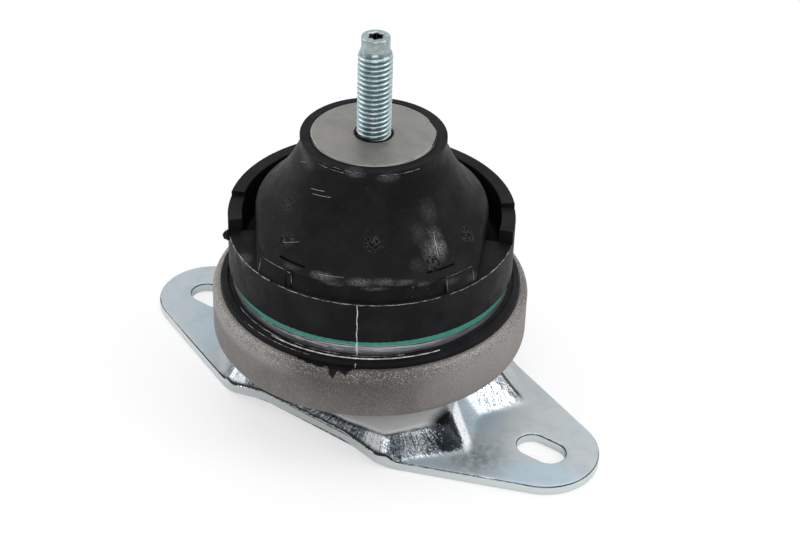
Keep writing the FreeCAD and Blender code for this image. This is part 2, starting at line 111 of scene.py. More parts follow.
class Node(Enum):
    """Nodes that the finishes and the studio are made of."""

    ADD = Recipe("ShaderNodeMath", (("operation", "ADD"),))
    SUBTRACT = Recipe("ShaderNodeMath", (("operation", "SUBTRACT"),))
    MULTIPLY = Recipe("ShaderNodeMath", (("operation", "MULTIPLY"),))
    MULTIPLY_ADD = Recipe("ShaderNodeMath", (("operation", "MULTIPLY_ADD"),))
    MAXIMUM = Recipe("ShaderNodeMath", (("operation", "MAXIMUM"),))
    ABSOLUTE = Recipe("ShaderNodeMath", (("operation", "ABSOLUTE"),))
    SQRT = Recipe("ShaderNodeMath", (("operation", "SQRT"),))
    SIGN = Recipe("ShaderNodeMath", (("operation", "SIGN"),))
    ARCTAN2 = Recipe("ShaderNodeMath", (("operation", "ARCTAN2"),))
    # A value, the range it comes from, and the range it is mapped to (0 to 1 where none is given).
    RANGE = Recipe("ShaderNodeMapRange")
    CURVE = Recipe("ShaderNodeFloatCurve", (), ("Value",))
    # A place, one over the size of a blob in millimetres, the number of finer layers and their strength.
    NOISE = Recipe("ShaderNodeTexNoise", (), ("Vector", "Scale", "Detail", "Roughness"))
    NOISE_COLOUR = Recipe("ShaderNodeTexNoise", (), ("Vector", "Scale", "Detail", "Roughness"), "Color")
    CELLS = Recipe("ShaderNodeTexVoronoi", (), ("Vector", "Scale"), "Distance")
    # A share from 0 to 1 and two colours, which stand after the sockets for numbers and vectors.
    MIX = Recipe("ShaderNodeMix", (("data_type", "RGBA"),), (0, 6, 7), 2)
    BUMP = Recipe("ShaderNodeBump", (), ("Strength", "Distance", "Height"))
    PLACE = Recipe("ShaderNodeTexCoord", (), (), "Object")
    NORMAL = Recipe("ShaderNodeTexCoord", (), (), "Normal")
    DIRECTION = Recipe("ShaderNodeTexCoord", (), (), "Generated")
    COMBINE = Recipe("ShaderNodeCombineXYZ")
    SEPARATE = Recipe("ShaderNodeSeparateXYZ")
    SEPARATE_Z = Recipe("ShaderNodeSeparateXYZ", (), (0,), "Z")
    ROTATE = Recipe("ShaderNodeVectorRotate", (("rotation_type", "Z_AXIS"),), ("Vector", "Angle"))
    VECTOR_SCALE = Recipe("ShaderNodeVectorMath", (("operation", "SCALE"),), (0, "Scale"))
    VECTOR_MULTIPLY = Recipe("ShaderNodeVectorMath", (("operation", "MULTIPLY"),))
    VECTOR_MULTIPLY_ADD = Recipe("ShaderNodeVectorMath", (("operation", "MULTIPLY_ADD"),))
    DISTANCE = Recipe("ShaderNodeVectorMath", (("operation", "DISTANCE"),), (0, 1), "Value")
    DOT = Recipe("ShaderNodeVectorMath", (("operation", "DOT_PRODUCT"),), (0, 1), "Value")
    CAMERA_RAY = Recipe("ShaderNodeLightPath", (), (), "Is Camera Ray")
    GLOSSY_RAY = Recipe("ShaderNodeLightPath", (), (), "Is Glossy Ray")
    TRANSMISSION_RAY = Recipe("ShaderNodeLightPath", (), (), "Is Transmission Ray")
    BACKGROUND = Recipe("ShaderNodeBackground", (), ("Color", "Strength"))
    EMISSION = Recipe("ShaderNodeEmission", (), ("Color", "Strength"))
    MIX_SHADER = Recipe("ShaderNodeMixShader")


def add_node(tree: Tree, node: Node, *inputs: object) -> Socket:
    """Adds a node with its settings and links.

    Args:
        tree: Node tree that gets the node.
        node: The node's recipe.
        inputs: What its inputs take, in the recipe's order: a value, an sRGB hex colour, or the output
            socket to link.

    Returns:
        The output socket that the recipe names.
    """
    recipe = node.value
    made = tree.nodes.new(recipe.kind)
    for name, value in recipe.settings:
        setattr(made, name, value)
    for place, value in zip(recipe.inputs, inputs):
        if isinstance(value, Socket):
            tree.links.new(value, made.inputs[place])
        elif isinstance(value, str):
            made.inputs[place].default_value = linear_colour(value)
        else:
            made.inputs[place].default_value = value
    return made.outputs[recipe.output]


def window(tree: Tree, value: Socket, rise: tuple[float, float], fall: tuple[float, float]) -> Socket:
    """Makes a share that is full only where a value lies between two edges.

    Args:
        tree: Node tree.
        value: Value that is looked at.
        rise: Where the share is 0, and where it has grown to 1.
        fall: Where the share is 0 again, and where it is still 1.

    Returns:
        Socket with the share.
    """
    rising = add_node(tree, Node.RANGE, value, *rise)
    return add_node(tree, Node.MULTIPLY, rising, add_node(tree, Node.RANGE, value, *fall))


def blotches(tree: Tree, place: Socket, size: float, layers: tuple[float, float], *limits: float) -> Socket:
    """Makes irregular blotches of one size.

    Args:
        tree: Node tree.
        place: Place in millimetres.
        size: Size of a blotch in millimetres.
        layers: Number of finer layers in it, and how much each one weighs against the one before.
        limits: Noise that counts as 0 and as 1, then what these two give instead, if not 0 and 1.

    Returns:
        Socket with the blotches.
    """
    noise = add_node(tree, Node.NOISE, place, 1 / size, *layers)
    return add_node(tree, Node.RANGE, noise, *limits)


def clock_point(radius: float, height: float, clock: float) -> Point:
    """Returns a point, in metres, at a radius, height and clock angle from the body's front."""
    angle = math.radians(Turn.BODY_FRONT.value + clock)
    return (mm(radius * math.cos(angle)), mm(radius * math.sin(angle)), mm(height))


def solid_tree(node: str) -> BVHTree:
    """Returns the faces of a solid, ready to be hit by rays and asked for near places."""
    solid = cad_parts[node].data
    corners = [vertex.co for vertex in solid.vertices]
    return BVHTree.FromPolygons(corners, [tuple(face.vertices) for face in solid.polygons])


def hump(clock: float, middle: float, width: float) -> float:
    """Returns a soft hump of height 1 at a clock angle, for what is torn longer there."""
    return math.exp(-(((clock - middle) / width) ** 2))


def make_piece(
    name: str, points: list[Point], faces: list[Face], finish: Material, smooth: bool = True
) -> bpy.types.Object:
    """Makes a mesh piece that rides on the root body.

    Args:
        name: Name of the piece.
        points: Vertices in metres.
        faces: Vertex numbers of each face.
        finish: Material of the piece.
        smooth: Whether the faces are shaded smooth.

    Returns:
        The new object.
    """
    mesh = bpy.data.meshes.new(name)
    mesh.from_pydata(points, [], faces)
    mesh.polygons.foreach_set("use_smooth", [smooth] * len(mesh.polygons))
    mesh.validate()
    mesh.update()
    piece = bpy.data.objects.new(name, mesh)
    bpy.context.scene.collection.objects.link(piece)
    mesh.materials.append(finish)
    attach(piece, Body.ROOT.value)
    log.info("%s: %d vertices, %d faces", name, len(points), len(faces))
    return piece


@dataclass(frozen=True)
class Finish:
    """Base of the finishes: a material with a principled shader and object coordinates in millimetres."""

    name: str

    def start(self) -> tuple[Tree, bpy.types.Node, Socket]:
        """Starts the material.

        Returns:
            Its node tree, its shader node and the socket with the place on the part in millimetres.
        """
        material = bpy.data.materials.new(self.name)
        material.use_nodes = True
        tree = material.node_tree
        shader = tree.nodes["Principled BSDF"]
        place = add_node(tree, Node.PLACE)
        scaled = add_node(tree, Node.VECTOR_SCALE, place, 1 / MILLIMETRE)
        return tree, shader, scaled

    def complete(
        self, tree: Tree, shader: bpy.types.Node, colour: Socket, surface: Socket, relief: float
    ) -> Material:
        """Links the colour and the relief of the material.

        Args:
            tree: Node tree.
            shader: Its shader node.
            colour: Socket with the colour.
            surface: Socket with the height of the surface, from 0 to 1.
            relief: What a height of 1 stands for, in millimetres.

        Returns:
            The finished material.
        """
        tree.links.new(colour, shader.inputs["Base Color"])
        normal = add_node(tree, Node.BUMP, 1.0, mm(relief), surface)
        tree.links.new(normal, shader.inputs["Normal"])
        return bpy.data.materials[self.name]


def polar(tree: Tree, place: Socket) -> tuple[Socket, Socket, Socket]:
    """Splits a place into radius, clock angle and height.

    Args:
        tree: Node tree.
        place: Place on the part in millimetres.

    Returns:
        Radius in millimetres, clock angle from the body's front (-180 to 180 degrees), and height in
        millimetres.
    """
    add = partial(add_node, tree)
    turned = add(Node.ROTATE, place, -math.radians(Turn.BODY_FRONT.value))
    parts = add(Node.SEPARATE, turned).node.outputs
    x = parts[0]
    y = parts[1]
    square = add(Node.MULTIPLY, x, x)
    squares = add(Node.ADD, square, add(Node.MULTIPLY, y, y))
    radius = add(Node.SQRT, squares)
    clock = add(Node.MULTIPLY, add(Node.ARCTAN2, y, x), math.degrees(1.0))
    return radius, clock, parts[2]


@dataclass(frozen=True)
class GreyMark:
    """Place where the rubber is rubbed grey or given a painted highlight.

    Also how strongly, and how much wider than tall the mark is.
    """

    radius: float
    height: float
    clock: float
    size: float
    strength: float
    flat: float = 1.0


@dataclass(frozen=True)
class MouldedRubber(Finish):
    """Compression-moulded natural rubber: black and semi-matt, a little greyer where light grazes it."""

    name: str = "moulded_natural_rubber"
    base: str = "0f0f10"
    bloom: str = "1a1a1c"
    # Grey of dust and rubbed marks, also used for the painted highlights along the wing's top edge.
    rubbed: str = "939395"
    pit_shade: str = "030303"
    pit_rim_highlight: str = "3c3c3e"
    scuffs_and_highlights: tuple[GreyMark, ...] = (
        GreyMark(33.2, 68.0, 37.0, 3.6, 1.0, 0.7),
        GreyMark(33.6, 67.4, 34.0, 4.4, 0.6, 0.7),
        GreyMark(30.8, 71.4, 38.5, 3.2, 0.55, 0.5),
        GreyMark(30.0, 71.5, 30.0, 3.6, 0.2, 0.8),
        GreyMark(34.4, 63.6, 24.0, 3.0, 0.2, 1.0),
        GreyMark(26.6, 76.0, 40.0, 3.4, 0.22, 0.5),
        # Along the wing's top edge, these long flat marks are painted highlights.
        GreyMark(39.0, 62.4, -33.0, 3.0, 0.3, 6.0),
        GreyMark(39.0, 62.5, -18.0, 4.6, 0.6, 6.0),
        GreyMark(39.0, 61.6, -13.0, 4.0, 0.35, 6.0),
        GreyMark(39.0, 62.4, -2.0, 4.4, 0.55, 6.0),
        GreyMark(39.0, 61.2, 4.0, 4.5, 0.35, 6.0),
        GreyMark(39.0, 62.5, 8.0, 4.0, 0.45, 6.0),
        GreyMark(39.4, 62.2, 16.0, 4.0, 0.4, 7.0),
        GreyMark(39.6, 61.4, 24.0, 3.0, 0.35, 4.0),
        GreyMark(40.0, 60.4, 36.0, 3.4, 0.3, 2.4),
        GreyMark(40.4, 59.0, 46.0, 3.4, 0.25, 2.0),
        GreyMark(39.6, 59.0, -52.0, 3.6, 0.3, 2.4),
        GreyMark(42.3, 56.9, -58.0, 3.6, 0.45, 2.2),
        GreyMark(21.0, 86.4, -12.0, 3.6, 0.5, 2.4),
        GreyMark(21.4, 85.6, 14.0, 4.0, 0.4, 2.2),
        GreyMark(22.0, 84.4, -58.0, 4.5, 0.3, 1.4),
    )
    rosettes: tuple[Point, ...] = ()
    rosette_size: float = 2.8
    rosette_blur: float = 0.7
    pit_spacing: float = 1.05
    pit_depth: float = 1.5
    pit_rim_strength: float = 0.8
    cloud_size: float = 11.0
    speck_size: float = 0.4
    dust_size: float = 0.5
    dust_strength: float = 0.35
    drift_size: float = 2.4
    drift_reach: Point = (2.6, 2.6, 0.9)
    sheen_size: float = 5.0
    grit_size: float = 0.7
    grit_strength: float = 0.25
    wave_size: float = 7.0
    specular: float = 0.08
    smoothest: float = 0.42
    roughest: float = 0.62
    relief: float = 0.12

    def marks(self, tree: Tree, place: Socket) -> tuple[Socket, Socket]:
        """Makes small pits in round groups, where the mould's vents stood, for painted shade and
        highlights.

        Args:
            tree: Node tree.
            place: Place on the part in millimetres.

        Returns:
            Socket with the pits and one with their raised rims.
        """
        add = partial(add_node, tree)
        near = add(Node.CELLS, place, 1 / self.pit_spacing)
        inside: Socket | float = 0.0
        for rosette in self.rosettes:
            middle = Vector(rosette) / MILLIMETRE
            away = add(Node.DISTANCE, place, middle)
            core = self.rosette_size - self.rosette_blur
            disc = add(Node.RANGE, away, self.rosette_size, core)
            inside = add(Node.MAXIMUM, disc, inside)
        pits = add(Node.MULTIPLY, inside, add(Node.RANGE, near, 0.44, 0.32))
        rims = window(tree, near, (0.4, 0.48), (0.66, 0.54))
        rims = add(Node.MULTIPLY, inside, rims)
        return pits, add(Node.MULTIPLY, rims, self.pit_rim_strength)

    def build(self) -> Material:
        """Builds the material.

        Returns:
            The finished material.
        """
        tree, shader, place = self.start()
        add = partial(add_node, tree)
        cloud = blotches(tree, place, self.cloud_size, (4.0, 0.6), 0.42, 0.68)
        colour = add(Node.MIX, cloud, self.base, self.bloom)
        # Specks finer than 0.4 mm don't show at the photograph's size, so the rubbed grain is that coarse.
        speck = blotches(tree, place, self.speck_size, (3.0, 0.75), 0.42, 0.66, 0.12)
        crumbs = blotches(tree, place, self.dust_size, (2.0, 0.8), 0.71, 0.77)
        dust_scuffs_and_highlights = add(Node.MULTIPLY, crumbs, self.dust_strength)
        loose = add(Node.NOISE_COLOUR, place, 1 / self.drift_size, 4.0, 0.7)
        drift = add(Node.VECTOR_MULTIPLY_ADD, loose, self.drift_reach, place)
        # The noise drifts each place by half its reach on the whole, so the marks and highlights move
        # along.
        shift = 0.5 * Vector(self.drift_reach)
        for grey_mark in self.scuffs_and_highlights:
            squash = Vector((1.0, 1.0, grey_mark.flat))
            middle = Vector(clock_point(grey_mark.radius, grey_mark.height, grey_mark.clock)) / MILLIMETRE + shift
            flattened = add(Node.VECTOR_MULTIPLY, drift, squash)
            away = add(Node.DISTANCE, flattened, middle * squash)
            mask = add(Node.RANGE, away, 0.1 * grey_mark.size, grey_mark.size, grey_mark.strength, 0.0)
            dust_scuffs_and_highlights = add(Node.MAXIMUM, dust_scuffs_and_highlights, add(Node.MULTIPLY, mask, speck))
        # Grey of dust and rubbed marks, and painted highlights along the wing's top edge.
        colour = add(Node.MIX, dust_scuffs_and_highlights, colour, self.rubbed)
        pits, rims = self.marks(tree, place)
        # Painted highlight on the pits' rims, then painted shade in the pits.
        colour = add(Node.MIX, rims, colour, self.pit_rim_highlight)
        colour = add(Node.MIX, pits, colour, self.pit_shade)
        shader.inputs["Specular IOR Level"].default_value = self.specular
        rough = blotches(tree, place, self.sheen_size, (4.0, 0.65), 0.3, 0.7, self.smoothest, self.roughest)
        tree.links.new(rough, shader.inputs["Roughness"])
        grit = add(Node.NOISE, place, 1 / self.grit_size, 3.0, 0.6)
        fine = add(Node.MULTIPLY, grit, self.grit_strength)
        uneven = add(Node.ADD, fine, add(Node.NOISE, place, 1 / self.wave_size))
        pressed = add(Node.SUBTRACT, rims, add(Node.MULTIPLY, pits, self.pit_depth))
        relief = add(Node.ADD, uneven, pressed)
        return self.complete(tree, shader, colour, relief, self.relief)


@dataclass(frozen=True)
class TrimmedFlash(Finish):
    """Thin rubber left at the mould's joints: paler than the bell where its torn edge scatters light.

    Along the band's rim and the foot, its pale lines also stand as painted highlights.
    """

    name: str = "torn_rubber_flash"
    base: str = "18181a"
    pale: str = "a5a4a0"
    least: float = 0.08
    tear_size: float = 2.6
    grit_size: float = 0.5
    specular: float = 0.3
    roughness: float = 0.5
    relief: float = 0.05

    def build(self) -> Material:
        """Builds the material.

        Returns:
            The finished material.
        """
        tree, shader, place = self.start()
        share = blotches(tree, place, self.tear_size, (3.0, 0.7), 0.42, 0.6, self.least)
        # Pale patches: torn flash, and along the band's rim and the foot a painted highlight.
        colour = add_node(tree, Node.MIX, share, self.base, self.pale)
        shader.inputs["Specular IOR Level"].default_value = self.specular
        shader.inputs["Roughness"].default_value = self.roughness
        grit = add_node(tree, Node.NOISE, place, 1 / self.grit_size, 3.0, 0.6)
        return self.complete(tree, shader, colour, grit, self.relief)


@dataclass(frozen=True)
class ZincPlate(Finish):
    """Zinc plated pressed steel: pale blue satin flats, streaked walls with painted reflections, a dull
    sheared edge.
    """

    name: str = "zinc_plated_pressed_steel"
    flat: str = "b3b7b8"
    blue: str = "a8b9c4"
    dull: str = "9aa19f"
    # Painted reflections on the walls run from dark through middle to bright.
    bright: str = "f4f7fa"
    middle: str = "8d979f"
    dark: str = "23272a"
    edge: str = "cdd2d2"
    edge_shade_line: str = "2f3333"
    seat_painted_light: str = "f4f6f6"
    notch: str = "9dacb7"
    horn_foot_shade: str = "6f797d"
    turn_x: float = 22.0
    turn_y: float = 20.0
    sheet: float = 3.0
    seat_low: float = 7.0
    seat_high: float = 9.0
    cloud_size: float = 24.0
    stain_size: float = 6.0
    horn_foot_shade_place: Point = (50.0, -15.5, 0.0)
    horn_foot_shade_reach: float = 13.0
    horn_foot_shade_core: float = 2.0
    horn_foot_shade_size: float = 2.2
    streak_size: float = 0.8
    streak_turn: float = 0.42
    streak_run: float = 0.22
    side_step: float = 9.0
    streak_share: float = 0.45
    pebble_size: float = 0.6
    peel_size: float = 1.0
    relief: float = 0.07
    satin: float = 0.46
    polished: float = 0.26
    crest: tuple[Point, Point] = ((36.0, -5.6, 0.0), (46.5, -12.5, 0.0))
    crease: tuple[Point, Point] = ((48.0, 16.3, 0.0), (37.8, 17.7, 0.0))
    # Painted reflection on the walls, from dark (0) to bright (1), at each angle about the corner's middle.
    reflection_tones: Pairs = (
        (-180.0, 0.62), (-60.0, 0.62), (0.0, 0.50), (12.0, 0.56), (26.0, 0.60), (40.0, 0.36),
        (52.0, 0.34), (62.0, 0.90), (76.0, 0.96), (90.0, 0.50), (120.0, 0.30), (180.0, 0.45),
    )

    def streaks(self, tree: Tree, place: Socket, out_x: Socket, out_y: Socket) -> tuple[Socket, Socket]:
        """Makes marks that run down the pressed walls, fanned round the middle of each corner.

        Args:
            tree: Node tree.
            place: Place on the part in millimetres.
            out_x: Distance along x from the plate's middle.
            out_y: Distance along y from the plate's middle.

        Returns:
            Socket with the streaks, and one with the angle about the corner's middle in degrees.
        """
        add = partial(add_node, tree)
        past_x = add(Node.SUBTRACT, out_x, self.turn_x)
        past_y = add(Node.SUBTRACT, add(Node.ABSOLUTE, out_y), self.turn_y)
        angle = add(Node.ARCTAN2, past_y, past_x)
        angle = add(Node.MULTIPLY, angle, math.degrees(1.0))
        squares = add(Node.MULTIPLY, past_x, past_x)
        squares = add(Node.ADD, squares, add(Node.MULTIPLY, past_y, past_y))
        turned = add(Node.MULTIPLY, angle, self.streak_turn)
        run = add(Node.MULTIPLY, add(Node.SQRT, squares), self.streak_run)
        step = add(Node.MULTIPLY, add(Node.SIGN, out_y), self.side_step)
        side = add(Node.COMBINE, turned, run, step)
        # The draw marks are 0.3 mm wide in the photograph, one pixel, and are drawn 0.5 mm wide to show.
        fine = add(Node.NOISE, side, 1 / self.streak_size, 4.0, 0.75)
        pebble = add(Node.NOISE, place, 1 / self.pebble_size, 3.0, 0.8)
        fine = add(Node.MULTIPLY, fine, self.streak_share)
        pebble = add(Node.MULTIPLY, pebble, 1 - self.streak_share)
        return add(Node.ADD, fine, pebble), angle

    def beside(self, tree: Tree, out_x: Socket, out_y: Socket, ends: tuple[Point, Point]) -> Socket:
        """Measures the distance from a line on the plate, positive on its right seen along it from above.

        Args:
            tree: Node tree.
            out_x: Distance along x from the plate's middle.
            out_y: Distance along y from the plate's middle.
            ends: Start and end of the line.

        Returns:
            Socket with the distance in millimetres.
        """
        start, end = ends
        length = math.hypot(end[0] - start[0], end[1] - start[1])
        across_x = (end[1] - start[1]) / length
        across_y = -(end[0] - start[0]) / length
        shift = -across_x * start[0] - across_y * start[1]
        part = add_node(tree, Node.MULTIPLY_ADD, out_x, across_x, shift)
        return add_node(tree, Node.MULTIPLY_ADD, out_y, across_y, part)

    def walls(
        self,
        tree: Tree,
        streak: Socket,
        angle: Socket,
        out_x: Socket,
        out_y: Socket,
        height: Socket,
    ) -> tuple[Socket, Socket, Socket]:
        """Paints reflections on the pressed walls: bright and dark by the angle about each corner.

        Args:
            tree: Node tree.
            streak: Streaks from 0 to 1.
            angle: Angle about the corner's middle in degrees.
            out_x: Distance along x from the plate's middle.
            out_y: Distance along y from the plate's middle.
            height: Height in millimetres.

        Returns:
            Socket with the colour, one with the share of the painted shade beside the horn, and one with
            the place past the crease, where the wall is as smooth as a flat.
        """
        add = partial(add_node, tree)
        reflection_tone = add(Node.CURVE, add(Node.RANGE, angle, -180.0, 180.0))
        mapping = reflection_tone.node.mapping
        curve = mapping.curves[0]
        stops = [((turn + 180.0) / 360.0, level) for turn, level in self.reflection_tones]
        curve.points[0].location = stops[0]
        curve.points[1].location = stops[-1]
        for turn, level in stops[1:-1]:
            curve.points.new(turn, level)
        mapping.update()
        noise = add(Node.SUBTRACT, streak, 0.5)

        # Beside the first horn: painted shade, a painted highlight along the crest, then the smooth notch.
        crest = self.beside(tree, out_x, out_y, self.crest)
        ragged = add(Node.MULTIPLY_ADD, noise, 9.0, crest)
        reach = add(Node.RANGE, out_x, 27.0, 33.5)
        reach = add(Node.MULTIPLY, reach, add(Node.RANGE, out_y, 6.0, 2.0))
        horn_shade = window(tree, ragged, (1.6, 3.0), (13.5, 8.0))
        above = add(Node.MULTIPLY, reach, add(Node.RANGE, height, 3.3, 4.4))
        horn_shade = add(Node.MULTIPLY, horn_shade, above)
        outward = add(Node.RANGE, add(Node.ADD, out_x, noise), 33.0, 36.5)
        horn_shade = add(Node.MULTIPLY, horn_shade, outward)
        crest_highlight = add(Node.RANGE, crest, -2.0, -1.2)
        crest_highlight = add(Node.MULTIPLY, crest_highlight, add(Node.RANGE, ragged, 2.4, 1.4))
        crest_highlight = add(Node.MULTIPLY, crest_highlight, reach)
        hollow = add(Node.RANGE, crest, -0.8, -2.2)
        hollow = add(Node.MULTIPLY, hollow, add(Node.RANGE, out_x, 30.0, 33.0))
        hollow = add(Node.MULTIPLY, hollow, add(Node.RANGE, out_y, 5.5, 0.0))

        # The second horn's wall has a painted highlight up to a crisp painted shade line along its crest.
        crease = self.beside(tree, out_x, out_y, self.crease)
        facing = add(Node.RANGE, out_y, -1.0, 5.0)
        facing = add(Node.MULTIPLY, facing, add(Node.RANGE, out_x, 30.0, 34.0))
        lit = add(Node.MULTIPLY, add(Node.RANGE, crease, -0.5, -1.2), facing)
        line = window(tree, crease, (-1.3, -0.6), (0.9, 0.2))
        line = add(Node.MULTIPLY, line, facing)
        past = add(Node.MULTIPLY, add(Node.RANGE, crease, 0.4, 1.2), facing)

        # Share of bright metal in the painted reflection: the level for the angle, with the marks laid over
        # it.
        strength = add(Node.MULTIPLY_ADD, hollow, -2.6, 3.8)
        strength = add(Node.MULTIPLY_ADD, lit, 1.2, strength)
        share = add(Node.MULTIPLY_ADD, noise, strength, reflection_tone)
        share = add(Node.MULTIPLY_ADD, lit, 0.12, share)
        # Painted highlight along the first horn's crest, then painted shade beside it.
        share = add(Node.MULTIPLY_ADD, crest_highlight, 0.55, share)
        share = add(Node.MULTIPLY_ADD, horn_shade, -0.75, share)
        # Painted shade line along the second horn's crest.
        share = add(Node.MULTIPLY_ADD, line, -0.8, share)
        low = add(Node.RANGE, share, 0.05, 0.5)
        low = add(Node.MIX, low, self.dark, self.middle)
        colour = add(Node.RANGE, share, 0.5, 0.95)
        colour = add(Node.MIX, colour, low, self.bright)
        notch = add(Node.MULTIPLY, hollow, 0.78)
        notch = add(Node.MIX, notch, colour, self.notch)
        return notch, horn_shade, past

    def build(self) -> Material:
        """Builds the material.

        Returns:
            The finished material.
        """
        tree, shader, place = self.start()
        add = partial(add_node, tree)
        upward = add(Node.SEPARATE_Z, add(Node.NORMAL))
        level = add(Node.ABSOLUTE, upward)

        # Flats: blue and grey clouds, as the plating's rinse leaves them.
        cloud = blotches(tree, place, self.cloud_size, (3.0, 0.55), 0.42, 0.62)
        flats = add(Node.MIX, cloud, self.flat, self.blue)
        stain = blotches(tree, place, self.stain_size, (4.0, 0.6), 0.5, 0.72, 0.0, 0.5)
        flats = add(Node.MIX, stain, flats, self.dull)

        spread = add(Node.SEPARATE, place).node.outputs
        out_x = add(Node.ABSOLUTE, spread[0])
        out_y = add(Node.MULTIPLY, spread[1], add(Node.SIGN, spread[0]))
        raised = add(Node.RANGE, spread[2], self.seat_low, self.seat_high)
        # Painted light: the raised seat, which the cup shades, is painted near white.
        flats = add(Node.MIX, raised, flats, self.seat_painted_light)
        # Painted shade, speckled, on the flat at the foot of the first horn.
        away = add(Node.COMBINE, out_x, out_y, 0.0)
        from_horn_foot = add(Node.DISTANCE, away, self.horn_foot_shade_place)
        rubbed = blotches(tree, place, self.horn_foot_shade_size, (4.0, 0.75), 0.4, 0.6, 0.25, 0.9)
        reach = add(Node.RANGE, from_horn_foot, self.horn_foot_shade_reach, self.horn_foot_shade_core)
        horn_foot_shade = add(Node.MULTIPLY, reach, rubbed)
        flats = add(Node.MIX, horn_foot_shade, flats, self.horn_foot_shade)

        streak, angle = self.streaks(tree, place, out_x, out_y)
        wall_colour, horn_shade, past = self.walls(tree, streak, angle, out_x, out_y, spread[2])
        smooth = add(Node.MULTIPLY_ADD, past, -0.75, 1.0)
        slope = add(Node.MULTIPLY, add(Node.RANGE, level, 0.975, 0.84), smooth)
        # The painted shade beside the first horn reaches onto the flat top as well.
        slope = add(Node.MAXIMUM, slope, horn_shade)
        colour = add(Node.MIX, slope, flats, wall_colour)

        # Sheared edge: dull, with a dark line of painted shade where it rolls over into the top.
        line = window(tree, level, (0.16, 0.24), (0.5, 0.42))
        rolled = window(tree, level, (0.14, 0.2), (0.86, 0.72))
        corner = add(Node.RANGE, spread[2], self.sheet + 0.15, self.sheet + 0.02)
        rolled = add(Node.MULTIPLY, rolled, corner)
        line = add(Node.MAXIMUM, line, add(Node.MULTIPLY, rolled, 0.8))
        cut_face = add(Node.RANGE, level, 0.26, 0.14)
        colour = add(Node.MIX, line, colour, self.edge_shade_line)
        colour = add(Node.MIX, cut_face, colour, self.edge)
        whole = add(Node.MULTIPLY_ADD, raised, -0.25, 0.3)
        metal = add(Node.MAXIMUM, whole, add(Node.MULTIPLY, slope, 0.9))
        tree.links.new(metal, shader.inputs["Metallic"])
        rough = add(Node.RANGE, level, 0.975, 0.84, self.satin, self.polished)
        tree.links.new(rough, shader.inputs["Roughness"])
        drawn = add(Node.MULTIPLY, slope, add(Node.MULTIPLY, streak, 0.6))
        peel = add(Node.NOISE, place, 1 / self.peel_size, 3.0, 0.6)
        relief = add(Node.ADD, drawn, add(Node.MULTIPLY, peel, 0.3))
        return self.complete(tree, shader, colour, relief, self.relief)


@dataclass(frozen=True)
class ZincThread(Finish):
    """Zinc plated rolled thread: blue-green crests, with roots and recesses painted darker as shade."""

    name: str = "zinc_plated_rolled_thread"
    crest: str = "c2d0d4"
    # Root colour, painted darker than the crests as shade.
    root: str = "6a777c"
    green: str = "a4bfc0"
    # Colour of the painted shade in the socket and in the disc's hole.
    inside: str = "101112"
    grubby: str = "7c8280"
    root_radius: float = 4.1
    crest_radius: float = 4.95
    socket_radius: float = 2.3
    pilot_bottom: float = 114.6
    top: float = 118.7
    face: float = 87.8
    tint_size: float = 4.0
    ragged_size: float = 0.8
    grubby_size: float = 2.6
    grit_size: float = 0.5
    metallic: float = 0.9
    roughness: float = 0.25
    relief: float = 0.03

    def build(self) -> Material:
        """Builds the material.

        Returns:
            The finished material.
        """
        tree, shader, place = self.start()
        add = partial(add_node, tree)
        radius, _, height = polar(tree, place)
        tint = blotches(tree, place, self.tint_size, (3.0, 0.6), 0.4, 0.62)
        crest = add(Node.MIX, tint, self.crest, self.green)
        out = add(Node.RANGE, radius, self.root_radius, self.crest_radius)
        uneven = add(Node.NOISE, place, 1 / self.ragged_size, 3.0, 0.7)
        crest_over_root = add(Node.ADD, out, add(Node.RANGE, uneven, 0.3, 0.7, -0.25, 0.25))
        pilot = add(Node.RANGE, height, self.pilot_bottom - 0.6, self.pilot_bottom)
        share = add(Node.MAXIMUM, crest_over_root, pilot)
        # Painted shade: the roots are painted darker than the crests.
        colour = add(Node.MIX, share, self.root, crest)
        grubby = blotches(tree, place, self.grubby_size, (4.0, 0.75), 0.34, 0.66, 0.3, 0.85)
        grubby = add(Node.MULTIPLY, pilot, grubby)
        colour = add(Node.MIX, grubby, colour, self.grubby)
        # Painted shade in the socket at the top and on the thread below the disc's face.
        hollow = add(Node.RANGE, radius, self.socket_radius + 0.3, self.socket_radius + 0.15)
        deep = add(Node.RANGE, height, self.top - 0.12, self.top - 0.4)
        hollow = add(Node.MULTIPLY, hollow, deep)
        sunk = add(Node.RANGE, height, self.face + 0.25, self.face - 0.1)
        hollow = add(Node.MAXIMUM, hollow, sunk)
        colour = add(Node.MIX, hollow, colour, self.inside)
        shader.inputs["Metallic"].default_value = self.metallic
        shader.inputs["Roughness"].default_value = self.roughness
        grit = add(Node.NOISE, place, 1 / self.grit_size, 3.0, 0.6)
        return self.complete(tree, shader, colour, grit, self.relief)


